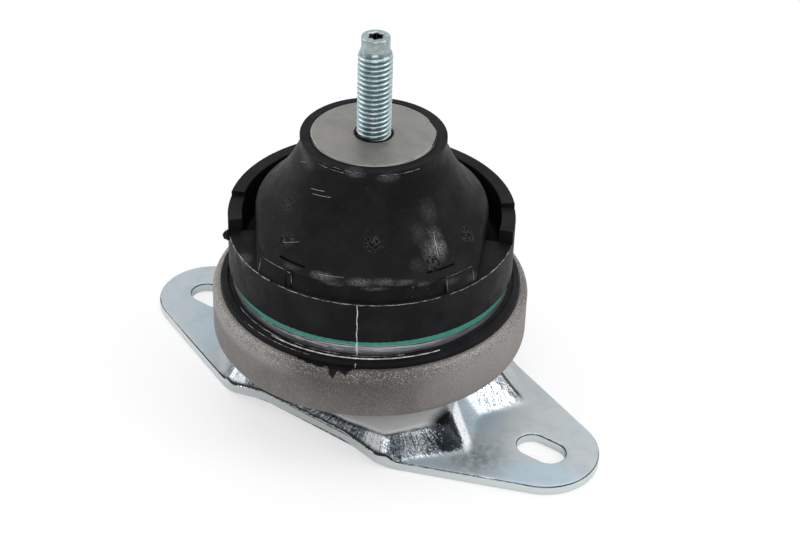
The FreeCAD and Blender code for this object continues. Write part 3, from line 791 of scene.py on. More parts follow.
@dataclass(frozen=True)
class PhosphatedSteel(Finish):
    """Drawn steel, blasted and phosphated: warm matt grey, bright grains where the rim was rolled."""

    name: str = "phosphated_drawn_steel"
    base: str = "6e6966"
    dark: str = "5d5957"
    # Colour of the draw marks, also used for the painted highlights at the right and at the left.
    rubbed: str = "8a8581"
    front_shade: str = "443f3c"
    grain_light: str = "b4b0ac"
    grain_dark: str = "3f3c3a"
    rim_low: float = 32.6
    rim_high: float = 35.8
    cloud_size: float = 12.0
    draw_size: float = 1.2
    draw_turn: float = 0.8
    draw_run: float = 0.12
    blast_size: float = 0.4
    patch_size: float = 5.0
    patch_reach: float = 3.0
    gloss_size: float = 0.7
    metallic: float = 0.35
    smoothest: float = 0.45
    roughest: float = 0.62
    relief: float = 0.04
    # Clock angles where a painted shade or highlight starts and is full, then where it has ended and is
    # still full.
    front_shade_clocks: Pairs = ((-38.0, -14.0), (26.0, 8.0))
    right_highlight_clocks: Pairs = ((16.0, 40.0), (85.0, 62.0))
    left_highlight_clocks: tuple[float, float] = (-22.0, -38.0)

    def build(self) -> Material:
        """Builds the material.

        Returns:
            The finished material.
        """
        tree, shader, place = self.start()
        add = partial(add_node, tree)
        _, clock, height = polar(tree, place)
        cloud = blotches(tree, place, self.cloud_size, (4.0, 0.6), 0.35, 0.65)
        colour = add(Node.MIX, cloud, self.base, self.dark)
        turned = add(Node.MULTIPLY, clock, self.draw_turn)
        lengthwise = add(Node.MULTIPLY, height, self.draw_run)
        drawn = add(Node.COMBINE, turned, lengthwise, 0.0)
        marks = blotches(tree, drawn, self.draw_size, (4.0, 0.7), 0.46, 0.66, 0.0, 0.16)
        colour = add(Node.MIX, marks, colour, self.rubbed)
        # Painted shade darkens the front, most near the top, and painted highlights lighten the right and
        # below the rim at the left.
        front = window(tree, clock, *self.front_shade_clocks)
        upper = add(Node.RANGE, height, 23.0, 33.0, 0.2, 0.95)
        front_shade = add(Node.MULTIPLY, front, upper)
        colour = add(Node.MIX, front_shade, colour, self.front_shade)
        right = window(tree, clock, *self.right_highlight_clocks)
        right = add(Node.MULTIPLY, right, add(Node.RANGE, height, 22.0, 34.0, 0.65))
        left = add(Node.RANGE, clock, *self.left_highlight_clocks)
        left = add(Node.MULTIPLY, left, add(Node.RANGE, height, 31.0, 33.6))
        # Share of painted highlight at the right and below the rim at the left.
        rubbed = add(Node.ADD, right, left)
        colour = add(Node.MIX, rubbed, colour, self.rubbed)
        # Blasted grain is drawn 0.4 mm wide, since finer grain doesn't show at the photograph's size.
        grains = add(Node.NOISE, place, 1 / self.blast_size, 2.0, 0.7)
        patchy = add(Node.NOISE, place, 1 / self.patch_size, 3.0, 0.6)
        level = add(Node.ADD, height, add(Node.MULTIPLY, patchy, self.patch_reach))
        shift = 0.5 * self.patch_reach
        zone = add(Node.RANGE, level, self.rim_low + shift, self.rim_high + shift, 0.2, 0.8)
        light = add(Node.RANGE, grains, 0.52, 0.66, 0.0, 0.85)
        light = add(Node.MULTIPLY, zone, light)
        shade = add(Node.RANGE, grains, 0.5, 0.38, 0.0, 0.85)
        shade = add(Node.MULTIPLY, zone, shade)
        colour = add(Node.MIX, light, colour, self.grain_light)
        colour = add(Node.MIX, shade, colour, self.grain_dark)
        shader.inputs["Metallic"].default_value = self.metallic
        rough = blotches(tree, place, self.gloss_size, (3.0, 0.6), 0.3, 0.7, self.smoothest, self.roughest)
        tree.links.new(rough, shader.inputs["Roughness"])
        return self.complete(tree, shader, colour, grains, self.relief)


@dataclass(frozen=True)
class BondedSteel(Finish):
    """Bare steel land between two mouldings, streaked round, with green bonding agent along its top."""

    name: str = "bare_steel_with_bonding_agent"
    base: str = "c0c0c8"
    streak: str = "2c2b2f"
    agent: str = "1e917a"
    agent_dark: str = "136553"
    agent_bottom: float = 42.5
    agent_wander: float = 0.5
    agent_dip: float = 1.25
    agent_left: float = 0.7
    line_size: float = 0.55
    line_turn: float = 0.03
    wander_size: float = 7.0
    mottle_size: float = 1.5
    grit_size: float = 0.4
    metallic: float = 0.9
    roughness: float = 0.34
    relief: float = 0.03

    def build(self) -> Material:
        """Builds the material.

        Returns:
            The finished material.
        """
        tree, shader, place = self.start()
        add = partial(add_node, tree)
        _, clock, height = polar(tree, place)
        turned = add(Node.MULTIPLY, clock, self.line_turn)
        ring = add(Node.COMBINE, turned, height, 0.0)
        lines = add(Node.NOISE, ring, 1 / self.line_size, 3.0, 0.7)
        lines = add(Node.MULTIPLY, add(Node.RANGE, lines, 0.46, 0.6), 0.62)
        steel = add(Node.MIX, lines, self.base, self.streak)
        wander = add(Node.NOISE, place, 1 / self.wander_size, 3.0, 0.6)
        wander = add(Node.MULTIPLY, wander, self.agent_wander)
        dip = add(Node.MULTIPLY, add(Node.RANGE, clock, 5.0, 60.0), self.agent_dip)
        leftward = add(Node.RANGE, clock, -12.0, -45.0)
        dip = add(Node.MULTIPLY_ADD, leftward, self.agent_left, dip)
        level = add(Node.ADD, add(Node.ADD, height, wander), dip)
        bottom = self.agent_bottom + 0.5 * self.agent_wander
        green = add(Node.RANGE, level, bottom, bottom + 0.12)
        mottle = add(Node.NOISE, place, 1 / self.mottle_size)
        agent = add(Node.MIX, mottle, self.agent, self.agent_dark)
        # A thin dark line just under the green.
        line_under_agent = add(Node.RANGE, level, bottom - 0.4, bottom - 0.3)
        line_under_agent = add(Node.MULTIPLY, line_under_agent, add(Node.RANGE, level, bottom, bottom - 0.05))
        line_under_agent = add(Node.MULTIPLY, line_under_agent, 0.85)
        colour = add(Node.MIX, line_under_agent, steel, self.streak)
        colour = add(Node.MIX, green, colour, agent)
        metal = add(Node.MULTIPLY, green, self.metallic)
        tree.links.new(add(Node.SUBTRACT, self.metallic, metal), shader.inputs["Metallic"])
        shader.inputs["Roughness"].default_value = self.roughness
        grit = add(Node.NOISE, ring, 1 / self.grit_size, 3.0)
        return self.complete(tree, shader, colour, grit, self.relief)


@dataclass(frozen=True)
class PlainSteel(Finish):
    """Steel or aluminium without plating: a dull grey face with faint stains and fine marks.

    Where asked, it gets a painted highlight round a turned edge and painted shade in a hole's mouth.
    """

    name: str = "turned_bare_steel"
    base: str = "85837f"
    dark: str = "777773"
    stain: str = "666765"
    metallic: float = 0.6
    roughness: float = 0.48
    # Colour of the painted highlight round the turned edge.
    bright: str = "a3a19d"
    highlight_from: float = 999.0
    hole_shade: str = "0e0e0e"
    hole_radius: float = 0.0
    cloud_size: float = 6.0
    spot_size: float = 1.6
    edge_size: float = 2.5
    grit_size: float = 0.5
    relief: float = 0.03

    def build(self) -> Material:
        """Builds the material.

        Returns:
            The finished material.
        """
        tree, shader, place = self.start()
        add = partial(add_node, tree)
        cloud = blotches(tree, place, self.cloud_size, (4.0, 0.6), 0.35, 0.7)
        colour = add(Node.MIX, cloud, self.base, self.dark)
        spots = blotches(tree, place, self.spot_size, (4.0, 0.7), 0.56, 0.7, 0.0, 0.5)
        colour = add(Node.MIX, spots, colour, self.stain)
        radius = polar(tree, place)[0]
        # Painted highlight round the turned edge, ragged.
        uneven = add(Node.NOISE, place, 1 / self.edge_size, 3.0, 0.7)
        uneven = add(Node.MULTIPLY_ADD, uneven, 0.5, radius)
        edge_highlight = add(Node.RANGE, uneven, self.highlight_from + 0.2, self.highlight_from + 0.32)
        colour = add(Node.MIX, edge_highlight, colour, self.bright)
        # Painted shade in the mouth of the hole round the stud.
        mouth = add(Node.RANGE, radius, self.hole_radius + 0.15, self.hole_radius - 0.05)
        colour = add(Node.MIX, mouth, colour, self.hole_shade)
        shader.inputs["Metallic"].default_value = self.metallic
        shader.inputs["Roughness"].default_value = self.roughness
        grit = add(Node.NOISE, place, 1 / self.grit_size, 3.0, 0.6)
        return self.complete(tree, shader, colour, grit, self.relief)


@dataclass
class Stud:
    """Threaded stud with a taper to a pilot end and a lobed socket."""

    bottom: float = 61.8
    face: float = 87.8
    inner_radius: float = 4.5
    top: float = 118.7
    crest: float = 5.0
    pitch: float = 1.5
    thread_depth: float = 0.92
    flank_share: float = 0.36
    crest_share: float = 0.08
    thread_top: float = 114.9
    runout: float = 2.0
    pilot_radius: float = 4.1
    edge: float = 0.35
    socket_radius: float = 2.3
    socket_wave: float = 0.5
    socket_lobes: int = 6
    socket_depth: float = 3.4
    around: int = 96
    rows_per_pitch: int = 12

    def thread_radius(self, height: float, angle: float) -> float:
        """Finds the radius of the thread's surface.

        Args:
            height: Height in millimetres.
            angle: Angle about the stud in radians.

        Returns:
            Radius in millimetres.
        """
        turn = (height / self.pitch - angle / (2 * math.pi)) % 1.0
        away = abs(turn - 0.5)
        fall = min(1.0, max(0.0, (away - self.crest_share) / self.flank_share))
        threaded = self.crest - self.thread_depth * fall
        fade = min(1.0, max(0.0, (self.thread_top - height) / self.runout))
        taper = self.pilot_radius + (self.crest - self.pilot_radius) * fade
        return min(threaded, taper)

    def rows(self) -> list[list[tuple[float, float]]]:
        """Lists the rings of points that the stud is made of.

        Returns:
            Rings of (radius, height) in millimetres from the lower end to the bottom of the socket.
        """
        angles = self.angles()
        rings = [[(0.0, self.bottom)] * self.around]
        rings.append([(self.inner_radius, self.bottom)] * self.around)
        rings.append([(self.inner_radius, self.face - 0.9)] * self.around)
        step = self.pitch / self.rows_per_pitch
        count = round((self.thread_top - self.face) / step)
        for row in range(-4, count + 1):
            height = self.face + row * step
            rings.append([(self.thread_radius(height, angle), height) for angle in angles])
        inset = 0.3 * self.edge
        rings.append([(self.pilot_radius, self.top - self.edge)] * self.around)
        rings.append([(self.pilot_radius - inset, self.top - inset)] * self.around)
        rings.append([(self.pilot_radius - self.edge, self.top)] * self.around)
        waves = [0.5 * (1 - math.cos(self.socket_lobes * angle)) for angle in angles]
        socket = [self.socket_radius - self.socket_wave * wave for wave in waves]
        rings.append([(radius + 0.1, self.top) for radius in socket])
        rings.append([(radius, self.top - 0.1) for radius in socket])
        rings.append([(radius, self.top - self.socket_depth) for radius in socket])
        rings.append([(0.0, self.top - self.socket_depth - 0.6)] * self.around)
        return rings

    def angles(self) -> list[float]:
        """Returns the angles of the points of a ring, in radians."""
        return [2 * math.pi * index / self.around for index in range(self.around)]

    def build(self, finish: Material) -> bpy.types.Object:
        """Builds the stud and hides the plain one.

        Args:
            finish: Material of the stud.

        Returns:
            The stud.
        """
        rings = self.rows()
        points = [
            (mm(radius * math.cos(angle)), mm(radius * math.sin(angle)), mm(height))
            for ring in rings
            for (radius, height), angle in zip(ring, self.angles())
        ]
        faces = []
        for row in range(len(rings) - 1):
            for index in range(self.around):
                after = (index + 1) % self.around
                low = row * self.around
                high = low + self.around
                faces.append((low + index, low + after, high + after, high + index))
        piece = make_piece("threaded_stud", points, faces, finish)
        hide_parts("stud")
        return piece


def hull_loop(circles: list[Circle], spacing: float, grow: float = 0.0) -> np.ndarray:
    """Draws the outline of the smallest convex shape round some circles, with even points.

    Args:
        circles: Middle x, middle y and radius of each, in millimetres.
        spacing: Distance between points in millimetres.
        grow: Added to each radius in millimetres.

    Returns:
        Points in order, one x, y pair to a row, in millimetres.
    """
    turns = np.radians(np.arange(0.0, 360.0, 1.5))
    ways = np.stack([np.cos(turns), np.sin(turns)], axis=1)
    middles = np.array([circle[:2] for circle in circles])
    radii = np.array([circle[2] + grow for circle in circles])
    best = np.argmax(ways @ middles.T + radii, axis=1)
    corners = middles[best] + ways * radii[best][:, None]
    closed = np.vstack([corners, corners[:1]])
    lengths = np.concatenate([[0.0], np.cumsum(np.linalg.norm(np.diff(closed, axis=0), axis=1))])
    count = max(24, round(lengths[-1] / spacing))
    marks = np.linspace(0.0, lengths[-1], count, endpoint=False)
    return np.stack([np.interp(marks, lengths, closed[:, axis]) for axis in (0, 1)], axis=1)


@dataclass
class PressedPlate:
    """Base plate with the soft bends that the press leaves, laid over the form of its solid."""

    cell: float = 0.5
    reach_x: float = 82.0
    reach_y: float = 34.5
    bend: float = 0.65
    slot_x: float = 63.5
    slot_run: float = 2.8
    slot_radius: float = 4.9
    hole_radius: float = 7.5
    lobe_radius: float = 17.18
    corner_x: float = 26.415
    corner_y: float = 26.3
    corner_radius: float = 7.0
    point_gap: float = 0.6
    rim_rows: Pairs = ((0.0, 0.5), (0.12, 0.22), (0.35, 0.06), (0.8, 0.0))
    flat_step: int = 3

    def outline(self) -> list[Circle]:
        """Lists the circles that the plate's outline runs round.

        Returns:
            Circles whose hull is the outline.
        """
        corners = [
            (x, y, self.corner_radius)
            for x in (-self.corner_x, self.corner_x)
            for y in (-self.corner_y, self.corner_y)
        ]
        return corners + [(-self.slot_x, 0.0, self.lobe_radius), (self.slot_x, 0.0, self.lobe_radius)]

    def holes(self) -> list[list[Circle]]:
        """Lists the circles that the slots and the hole run round.

        Returns:
            Circles whose hulls are the two slots and the middle hole.
        """
        slots = [
            [(x - self.slot_run, 0.0, self.slot_radius), (x + self.slot_run, 0.0, self.slot_radius)]
            for x in (-self.slot_x, self.slot_x)
        ]
        return slots + [[(0.0, 0.0, self.hole_radius)]]

    def heights(self, tree: BVHTree, xs: np.ndarray, ys: np.ndarray, down: bool) -> np.ndarray:
        """Heights of one skin of the solid on a grid, carried on past its edge and rounded by the press.

        Args:
            tree: The solid's faces.
            xs: Grid lines across x in millimetres.
            ys: Grid lines across y in millimetres.
            down: Whether the skin is looked at from above.

        Returns:
            Heights in millimetres, a row for each x.
        """
        way = Vector((0.0, 0.0, -1.0 if down else 1.0))
        start = mm(30.0 if down else -20.0)
        grid = np.full((len(xs), len(ys)), np.nan)
        for row, x in enumerate(xs):
            for column, y in enumerate(ys):
                hit = tree.ray_cast(Vector((mm(x), mm(y), start)), way)[0]
                if hit is not None:
                    grid[row, column] = hit.z / MILLIMETRE
        for row in range(len(xs)):
            known = np.flatnonzero(~np.isnan(grid[row]))
            if len(known) < 3:
                continue
            inner = np.interp(np.arange(len(ys)), known, grid[row, known])
            first, last = known[0], known[-1]
            for column in list(range(first)) + list(range(last + 1, len(ys))):
                edge = first if column < first else last
                mirror = min(max(2 * edge - column, first), last)
                inner[column] = 2 * inner[edge] - inner[mirror]
            grid[row] = inner
        known_rows = np.flatnonzero(~np.isnan(grid[:, 0]))
        for row in np.flatnonzero(np.isnan(grid[:, 0])):
            grid[row] = grid[known_rows[np.argmin(np.abs(known_rows - row))]]
        reach = int(3 * self.bend / self.cell)
        kernel = np.exp(-0.5 * (np.arange(-reach, reach + 1) * self.cell / self.bend) ** 2)
        kernel /= kernel.sum()
        for axis in (0, 1):
            widths = [(reach, reach) if axis == side else (0, 0) for side in (0, 1)]
            padded = np.pad(grid, widths, mode="edge")
            grid = np.apply_along_axis(lambda line: np.convolve(line, kernel, mode="valid"), axis, padded)
        return grid

    def skin(
        self, grid: np.ndarray, xs: np.ndarray, ys: np.ndarray, rows: Pairs, up: float
    ) -> tuple[list[Point], list[Face], list[list[int]]]:
        """Meshes one skin of the plate.

        Args:
            grid: Heights of the skin in millimetres.
            xs: Grid lines across x.
            ys: Grid lines across y.
            rows: Inset and drop of each row of points beside an edge, from the edge inwards.
            up: 1 for the upper skin and -1 for the lower one.

        Returns:
            Points in metres, faces, and the point numbers of each edge loop.
        """
        flat: list[Point] = []
        loops: list[list[int]] = []
        edges: list[tuple[int, int]] = []
        shapes = [(self.outline(), -1.0)] + [(hole, 1.0) for hole in self.holes()]
        for circles, grow in shapes:
            for inset, drop in rows:
                ring = hull_loop(circles, self.point_gap, grow * inset)
                first = len(flat)
                flat.extend((x, y, drop) for x, y in ring)
                numbers = list(range(first, len(flat)))
                edges.extend(zip(numbers, numbers[1:] + numbers[:1]))
                if inset == 0.0:
                    loops.append(numbers)
        border = rows[-1][0] + 0.7 * self.point_gap
        local = np.stack([np.roll(grid, shift, (0, 1)) for shift in ((-3, 0), (3, 0), (0, -3), (0, 3))])
        curved = np.ptp(np.concatenate([local, grid[None]]), axis=0) > 0.02
        turns = np.radians(np.arange(0.0, 360.0, 3.0))
        ways = np.stack([np.cos(turns), np.sin(turns)], axis=1)
        circles = self.outline()
        middles = np.array([circle[:2] for circle in circles])
        radii = np.array([circle[2] for circle in circles])
        support = np.max(ways @ middles.T + radii, axis=1)
        for row in range(int((xs[-1] - xs[0]) / self.point_gap)):
            x = xs[0] + row * self.point_gap
            for column in range(int((ys[-1] - ys[0]) / self.point_gap)):
                y = ys[0] + (column + 0.5 * (row % 2)) * self.point_gap
                here = curved[round((x - xs[0]) / self.cell), round((y - ys[0]) / self.cell)]
                if not here and (row % self.flat_step or column % self.flat_step):
                    continue
                if np.min(support - ways @ np.array([x, y])) < border or self.in_hole(x, y, border):
                    continue
                flat.append((x, y, 0.0))
        found = delaunay_2d_cdt([Vector(point[:2]) for point in flat], edges, [], 0, 1e-6)
        where = {}
        for index, origins in enumerate(found[3]):
            for origin in origins:
                where[origin] = index
        drops = [flat[origins[0]][2] if origins else 0.0 for origins in found[3]]
        points = []
        for place, drop in zip(found[0], drops):
            height = self.sample(grid, xs, ys, place.x, place.y) - up * drop
            points.append((mm(place.x), mm(place.y), mm(height)))
        faces = []
        for face in found[2]:
            middle = sum((Vector(found[0][index]) for index in face), Vector((0.0, 0.0))) / len(face)
            if not self.in_hole(middle.x, middle.y, 0.0):
                faces.append(tuple(face) if up > 0 else tuple(reversed(face)))
        return points, faces, [[where[number] for number in loop] for loop in loops]

    def in_hole(self, x: float, y: float, border: float) -> bool:
        """Tells whether a place lies in a slot or the hole, or in a border round it."""
        side = abs(abs(x) - self.slot_x)
        slot = math.hypot(max(side - self.slot_run, 0.0), y) < self.slot_radius + border
        return slot or math.hypot(x, y) < self.hole_radius + border

    def sample(self, grid: np.ndarray, xs: np.ndarray, ys: np.ndarray, x: float, y: float) -> float:
        """Reads a height between grid lines.

        Args:
            grid: Heights in millimetres.
            xs: Grid lines across x.
            ys: Grid lines across y.
            x: Place along x in millimetres.
            y: Place along y in millimetres.

        Returns:
            Height in millimetres.
        """
        row = min(max((x - xs[0]) / self.cell, 0.0), len(xs) - 1.001)
        column = min(max((y - ys[0]) / self.cell, 0.0), len(ys) - 1.001)
        low, left = int(row), int(column)
        across, along = row - low, column - left
        near = grid[low, left] * (1 - along) + grid[low, left + 1] * along
        far = grid[low + 1, left] * (1 - along) + grid[low + 1, left + 1] * along
        return float(near * (1 - across) + far * across)

    def build(self, finish: Material) -> bpy.types.Object:
        """Builds the plate and hides the plain one.

        Args:
            finish: Material of the plate.

        Returns:
            The plate.
        """
        tree = solid_tree("base_plate")
        xs = np.arange(-self.reach_x, self.reach_x + 0.1, self.cell)
        ys = np.arange(-self.reach_y, self.reach_y + 0.1, self.cell)
        upper = self.heights(tree, xs, ys, True)
        lower = np.maximum(self.heights(tree, xs, ys, False), 0.0)
        points, faces, top_loops = self.skin(upper, xs, ys, self.rim_rows, 1.0)
        under, under_faces, low_loops = self.skin(lower, xs, ys, ((0.0, 0.0), (0.8, 0.0)), -1.0)
        shift = len(points)
        points.extend(under)
        faces.extend(tuple(index + shift for index in face) for face in under_faces)
        for number, (top, low) in enumerate(zip(top_loops, low_loops)):
            first = len(points)
            points.extend(points[index] for index in top)
            second = len(points)
            points.extend(points[index + shift] for index in low)
            count = len(top)
            for index in range(count):
                after = (index + 1) % count
                wall = (first + index, second + index, second + after, first + after)
                faces.append(wall if number == 0 else tuple(reversed(wall)))
        piece = make_piece("pressed_base_plate", points, faces, finish)
        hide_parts("base_plate")
        return piece


@dataclass
class Ridges:
    """Thin raised lines on the rubber, gathered into one piece."""

    points: list[Point]
    faces: list[Face]

    def add(self, path: Path, width: float, height: float) -> None:
        """Adds one ridge.

        Args:
            path: Places in metres, each with the way out of the surface there.
            width: Width at its foot in millimetres.
            height: Height in its middle in millimetres.
        """
        first = len(self.points)
        count = len(path)
        for index, (place, out) in enumerate(path):
            before = path[max(index - 1, 0)][0]
            after = path[min(index + 1, count - 1)][0]
            side = out.cross(after - before).normalized() * mm(0.5 * width)
            swell = math.sin(math.pi * min(max((index + 0.5) / count, 0.03), 0.97)) ** 0.35
            root = out * mm(-0.1)
            self.points.append(tuple(place + side + root))
            self.points.append(tuple(place + out * mm(height * swell)))
            self.points.append(tuple(place - side + root))
        for index in range(count - 1):
            low = first + 3 * index
            self.faces.append((low, low + 3, low + 4, low + 1))
            self.faces.append((low + 1, low + 4, low + 5, low + 2))


@dataclass
class RubberDetail:
    """What the mould and its trimming left on the rubber: flash lines, torn flash, tabs and round marks."""

    band_radius: float = 42.3
    band_top: float = 57.3
    band_bottom: float = 44.2
    land_radius: float = 41.3
    foot_top: float = 39.4
    parting_clock: float = -2.5
    rim_radius: float = 47.4
    rim_top: float = 37.2
    disc_radius: float = 18.2
    disc_height: float = 87.8
    rim_bend: float = 0.9
    sheet_inner: float = 43.4
    sheet_proud: float = 0.14
    # Lines of flash on the wing's wall: height and clock angle of each end.
    vent_flash: tuple[Pairs, ...] = (
        ((61.9, 34.0), (61.9, 47.0)),
        ((57.6, 46.8), (61.8, 46.8)),
        ((57.6, 33.6), (61.8, 33.6)),
        ((61.9, -47.0), (61.9, -34.0)),
        ((57.6, -47.2), (61.8, -47.2)),
    )
    # Flash round the band's rim and the foot: radius, height, clock angles and lean, then width and height.
    # Their pale finish along the rim and the foot is partly a painted highlight.
    ring_flash: tuple[Ring, ...] = (
        ((42.25, 57.2, -77.0, -40.0, 0.5), 0.28, 0.22),
        ((42.25, 57.2, -38.0, 30.0, 0.5), 0.8 * 0.28, 0.7 * 0.22),
        ((42.25, 57.2, 34.0, 77.0, 0.5), 0.8 * 0.28, 0.8 * 0.22),
        ((41.9, 39.4, -30.0, 16.0, 0.9), 0.3, 0.14),
        ((44.4, 38.95, -52.0, -20.0, 0.8), 0.3, 0.14),
        ((42.5, 39.4, -60.0, -34.0, 0.9), 0.24, 0.12),
        ((41.45, 41.6, -46.0, -12.0, 0.1), 0.2, 0.12),
        ((41.45, 40.8, -28.0, 4.0, 0.1), 0.2, 0.12),
    )
    lip_flash: tuple[Ring, ...] = (
        ((21.15, 87.0, -52.0, -2.0, 0.4), 0.2, 0.16),
        ((21.35, 86.1, -44.0, -20.0, 0.2), 0.16, 0.12),
        ((21.3, 86.4, 8.0, 40.0, 0.3), 0.16, 0.12),
    )
    # Height, first and last clock angle, and rise of each scratch on the bell.
    scores: tuple[tuple[float, float, float, float], ...] = (
        (78.6, -45.0, -33.0, 0.9),
        (77.6, -42.0, -27.0, 1.0),
        (64.8, 35.0, 38.4, 5.0),
        (65.2, -44.0, -36.0, 1.6),
        (62.6, -20.0, -9.0, 0.2),
        (82.0, -68.0, -60.0, 1.4),
    )
    seed: int = 7

    def on_bell(self, tree: BVHTree, height: float, clock: float) -> tuple[Vector, Vector]:
        """Finds a place on the rubber from outside.

        Args:
            tree: The rubber's faces.
            height: Height in millimetres.
            clock: Clock angle from the body's front in degrees.

        Returns:
            The place in metres and the way out of the surface.
        """
        start = Vector(clock_point(70.0, height, clock))
        way = Vector((-start.x, -start.y, 0.0)).normalized()
        place, normal = tree.ray_cast(start, way)[:2]
        return place, normal

    def ring_path(self, radius: float, height: float, start: float, end: float, lift: float) -> Path:
        """Lays a path round the body at one radius and height, between two clock angles.

        Args:
            radius: Radius in millimetres.
            height: Height in millimetres.
            start: First clock angle.
            end: Last clock angle.
            lift: Upward share of the way out, from 0 to 1.

        Returns:
            Places with the way out at each.
        """
        count = max(3, round(abs(end - start)))
        path = []
        for index in range(count + 1):
            clock = start + (end - start) * index / count
            wave = 0.05 * math.sin(0.9 * clock) + 0.04 * math.sin(2.3 * clock + 1.0)
            place = Vector(clock_point(radius, height + wave, clock))
            out = Vector(clock_point(1000.0, 0.0, clock)) * (1 - lift) + Vector((0.0, 0.0, lift))
            path.append((place, out.normalized()))
        return path

    def upright_path(self, radius: float, low: float, high: float, clock: float) -> Path:
        """Lays a path straight up the body.

        Args:
            radius: Radius in millimetres.
            low: Lower height in millimetres.
            high: Upper height in millimetres.
            clock: Clock angle.

        Returns:
            Places along the path, each with the way out of the body.
        """
        out = Vector(clock_point(1000.0, 0.0, clock)).normalized()
        count = max(2, round((high - low) / 0.8))
        path = []
        for index in range(count + 1):
            height = low + (high - low) * index / count
            sway = 0.12 * math.sin(1.3 * height)
            path.append((Vector(clock_point(radius, height, clock + sway)), out))
        return path

    def vent_places(self) -> tuple[Point, ...]:
        """Returns the places on the bell, in metres, where the mould's vents left their marks."""
        tree = solid_tree("rubber_spring")
        vents = ((72.0, -56.0), (66.0, -43.0), (69.4, 3.0), (66.2, 57.0), (64.2, 31.0))
        return tuple(tuple(self.on_bell(tree, height, clock)[0]) for height, clock in vents)

    def parting(self, finish: Material) -> bpy.types.Object:
        """Builds the upright flash where the halves of the mould met, rubbed pale.

        Args:
            finish: Material of the flash.

        Returns:
            The flash.
        """
        ridges = Ridges([], [])
        for clock in (self.parting_clock, self.parting_clock + 180.0):
            band = self.upright_path(self.band_radius, self.band_bottom, self.band_top - 0.2, clock)
            land = self.upright_path(self.land_radius, self.foot_top, self.band_bottom, clock)
            foot = self.upright_path(45.0, self.rim_top, self.foot_top - 0.4, clock)
            ridges.add(band, 0.4, 0.28)
            ridges.add(land, 0.62, 0.34)
            ridges.add(foot, 0.3, 0.2)
        ridges.add(self.ring_path(43.1, self.foot_top - 0.02, -38.0, 30.0, 0.9), 0.42, 0.24)
        return make_piece("parting_flash", ridges.points, ridges.faces, finish)

    def wall_path(self, tree: BVHTree, low: tuple[float, float], high: tuple[float, float]) -> Path:
        """Lays a path on the rubber between two places.

        Args:
            tree: The rubber's faces.
            low: Height in millimetres and clock angle of its start.
            high: Height and clock angle of its end.

        Returns:
            Places with the way out at each.
        """
        steps = 12
        path = []
        for index in range(steps + 1):
            share = index / steps
            place = [start + (end - start) * share for start, end in zip(low, high)]
            path.append(self.on_bell(tree, *place))
        return path

    def flash(self, tree: BVHTree, finish: Material) -> bpy.types.Object:
        """Builds the lines of flash round the band, the foot and the lip.

        Args:
            tree: Faces of the rubber solid.
            finish: Material of the flash.

        Returns:
            The flash.
        """
        ridges = Ridges([], [])
        for low, high in self.vent_flash:
            ridges.add(self.wall_path(tree, low, high), 0.18, 0.1)
        for ring, width, height in self.ring_flash:
            ridges.add(self.ring_path(*ring), width, height)
        for start, end, radius, top in ((19.5, 33.0, 39.8, 61.6), (-33.0, -30.8, 40.4, 61.6)):
            ridges.add(self.ring_path(radius, top, start, end, 0.6), 0.16, 0.1)
            for clock in (start, end):
                side = self.upright_path(radius + 0.3, self.band_top + 0.2, top - 0.3, clock)
                ridges.add(side, 0.16, 0.1)
        for ring, width, height in self.lip_flash:
            ridges.add(self.ring_path(*ring), width, height)
        return make_piece("moulding_flash", ridges.points, ridges.faces, finish)

    def scratches(self, tree: BVHTree, finish: Material) -> bpy.types.Object:
        """Builds fine light scratches on the bell.

        Args:
            tree: Faces of the rubber solid.
            finish: Material of the scratches.

        Returns:
            The scratches.
        """
        ridges = Ridges([], [])
        for height, start, end, rise in self.scores:
            ridges.add(self.wall_path(tree, (height, start), (height + rise, end)), 0.2, 0.08)
        return make_piece("bell_scratches", ridges.points, ridges.faces, finish)

    def disc_edge(self, finish: Material) -> bpy.types.Object:
        """Builds the ragged skin of rubber that laps over the disc's edge, most of it at the right.

        Args:
            finish: Material of the skin.

        Returns:
            The skin.
        """
        rng = random.Random(self.seed + 2)
        steps = 240
        points: list[Point] = []
        ragged = 0.0
        for column in range(steps):
            clock = -180.0 + 360.0 * column / steps
            ragged += (rng.random() - 0.5) * 0.22 - 0.2 * ragged
            tear = 0.5 * hump(clock, 118.0, 15.0) + 0.3 * hump(clock, 82.0, 12.0)
            lap = 0.12 + tear
            reach = max(0.05, lap * (1.0 + 2.4 * ragged) + 0.35 * ragged)
            points.append(clock_point(self.disc_radius - reach, self.disc_height + 0.02, clock))
            points.append(clock_point(self.disc_radius - 0.7 * reach, self.disc_height + 0.12, clock))
            points.append(clock_point(self.disc_radius + 0.15, self.disc_height + 0.16, clock))
        faces = []
        for column in range(steps):
            after = (column + 1) % steps
            for row in range(2):
                faces.append((3 * column + row, 3 * column + row + 1, 3 * after + row + 1, 3 * after + row))
        return make_piece("disc_edge_skin", points, faces, finish)

    def torn_sheet(self, finish: Material) -> bpy.types.Object:
        """Builds the ragged sheet of flash that lies over the cup's rim at the front.

        Args:
            finish: Material of the sheet.

        Returns:
            The sheet.
        """
        rng = random.Random(self.seed)
        start, end, steps = -29.5, 3.5, 166
        points: list[Point] = []
        faces: list[Face] = []
        rows = 10
        ragged = 0.0
        for column in range(steps + 1):
            share = column / steps
            clock = start + (end - start) * share
            ragged += (rng.random() - 0.5) * 0.7 - 0.12 * ragged
            tongue = 3.0 * hump(clock, -10.2, 1.4) + 1.3 * hump(clock, -6.0, 3.0)
            shoulder = 0.9 * min(1.0, max(0.0, (clock + 28.0) / 5.0))
            length = 1.7 + shoulder + tongue + 0.8 * ragged
            length *= min(1.0, 6.0 * share, 6.0 * (1 - share))
            for row in range(rows + 1):
                radius, height = self.rim_place(length * row / rows)
                points.append(clock_point(radius, height, clock))
        for column in range(steps):
            for row in range(rows):
                low = column * (rows + 1) + row
                faces.append((low, low + rows + 1, low + rows + 2, low + 1))
        return make_piece("torn_flash", points, faces, finish)

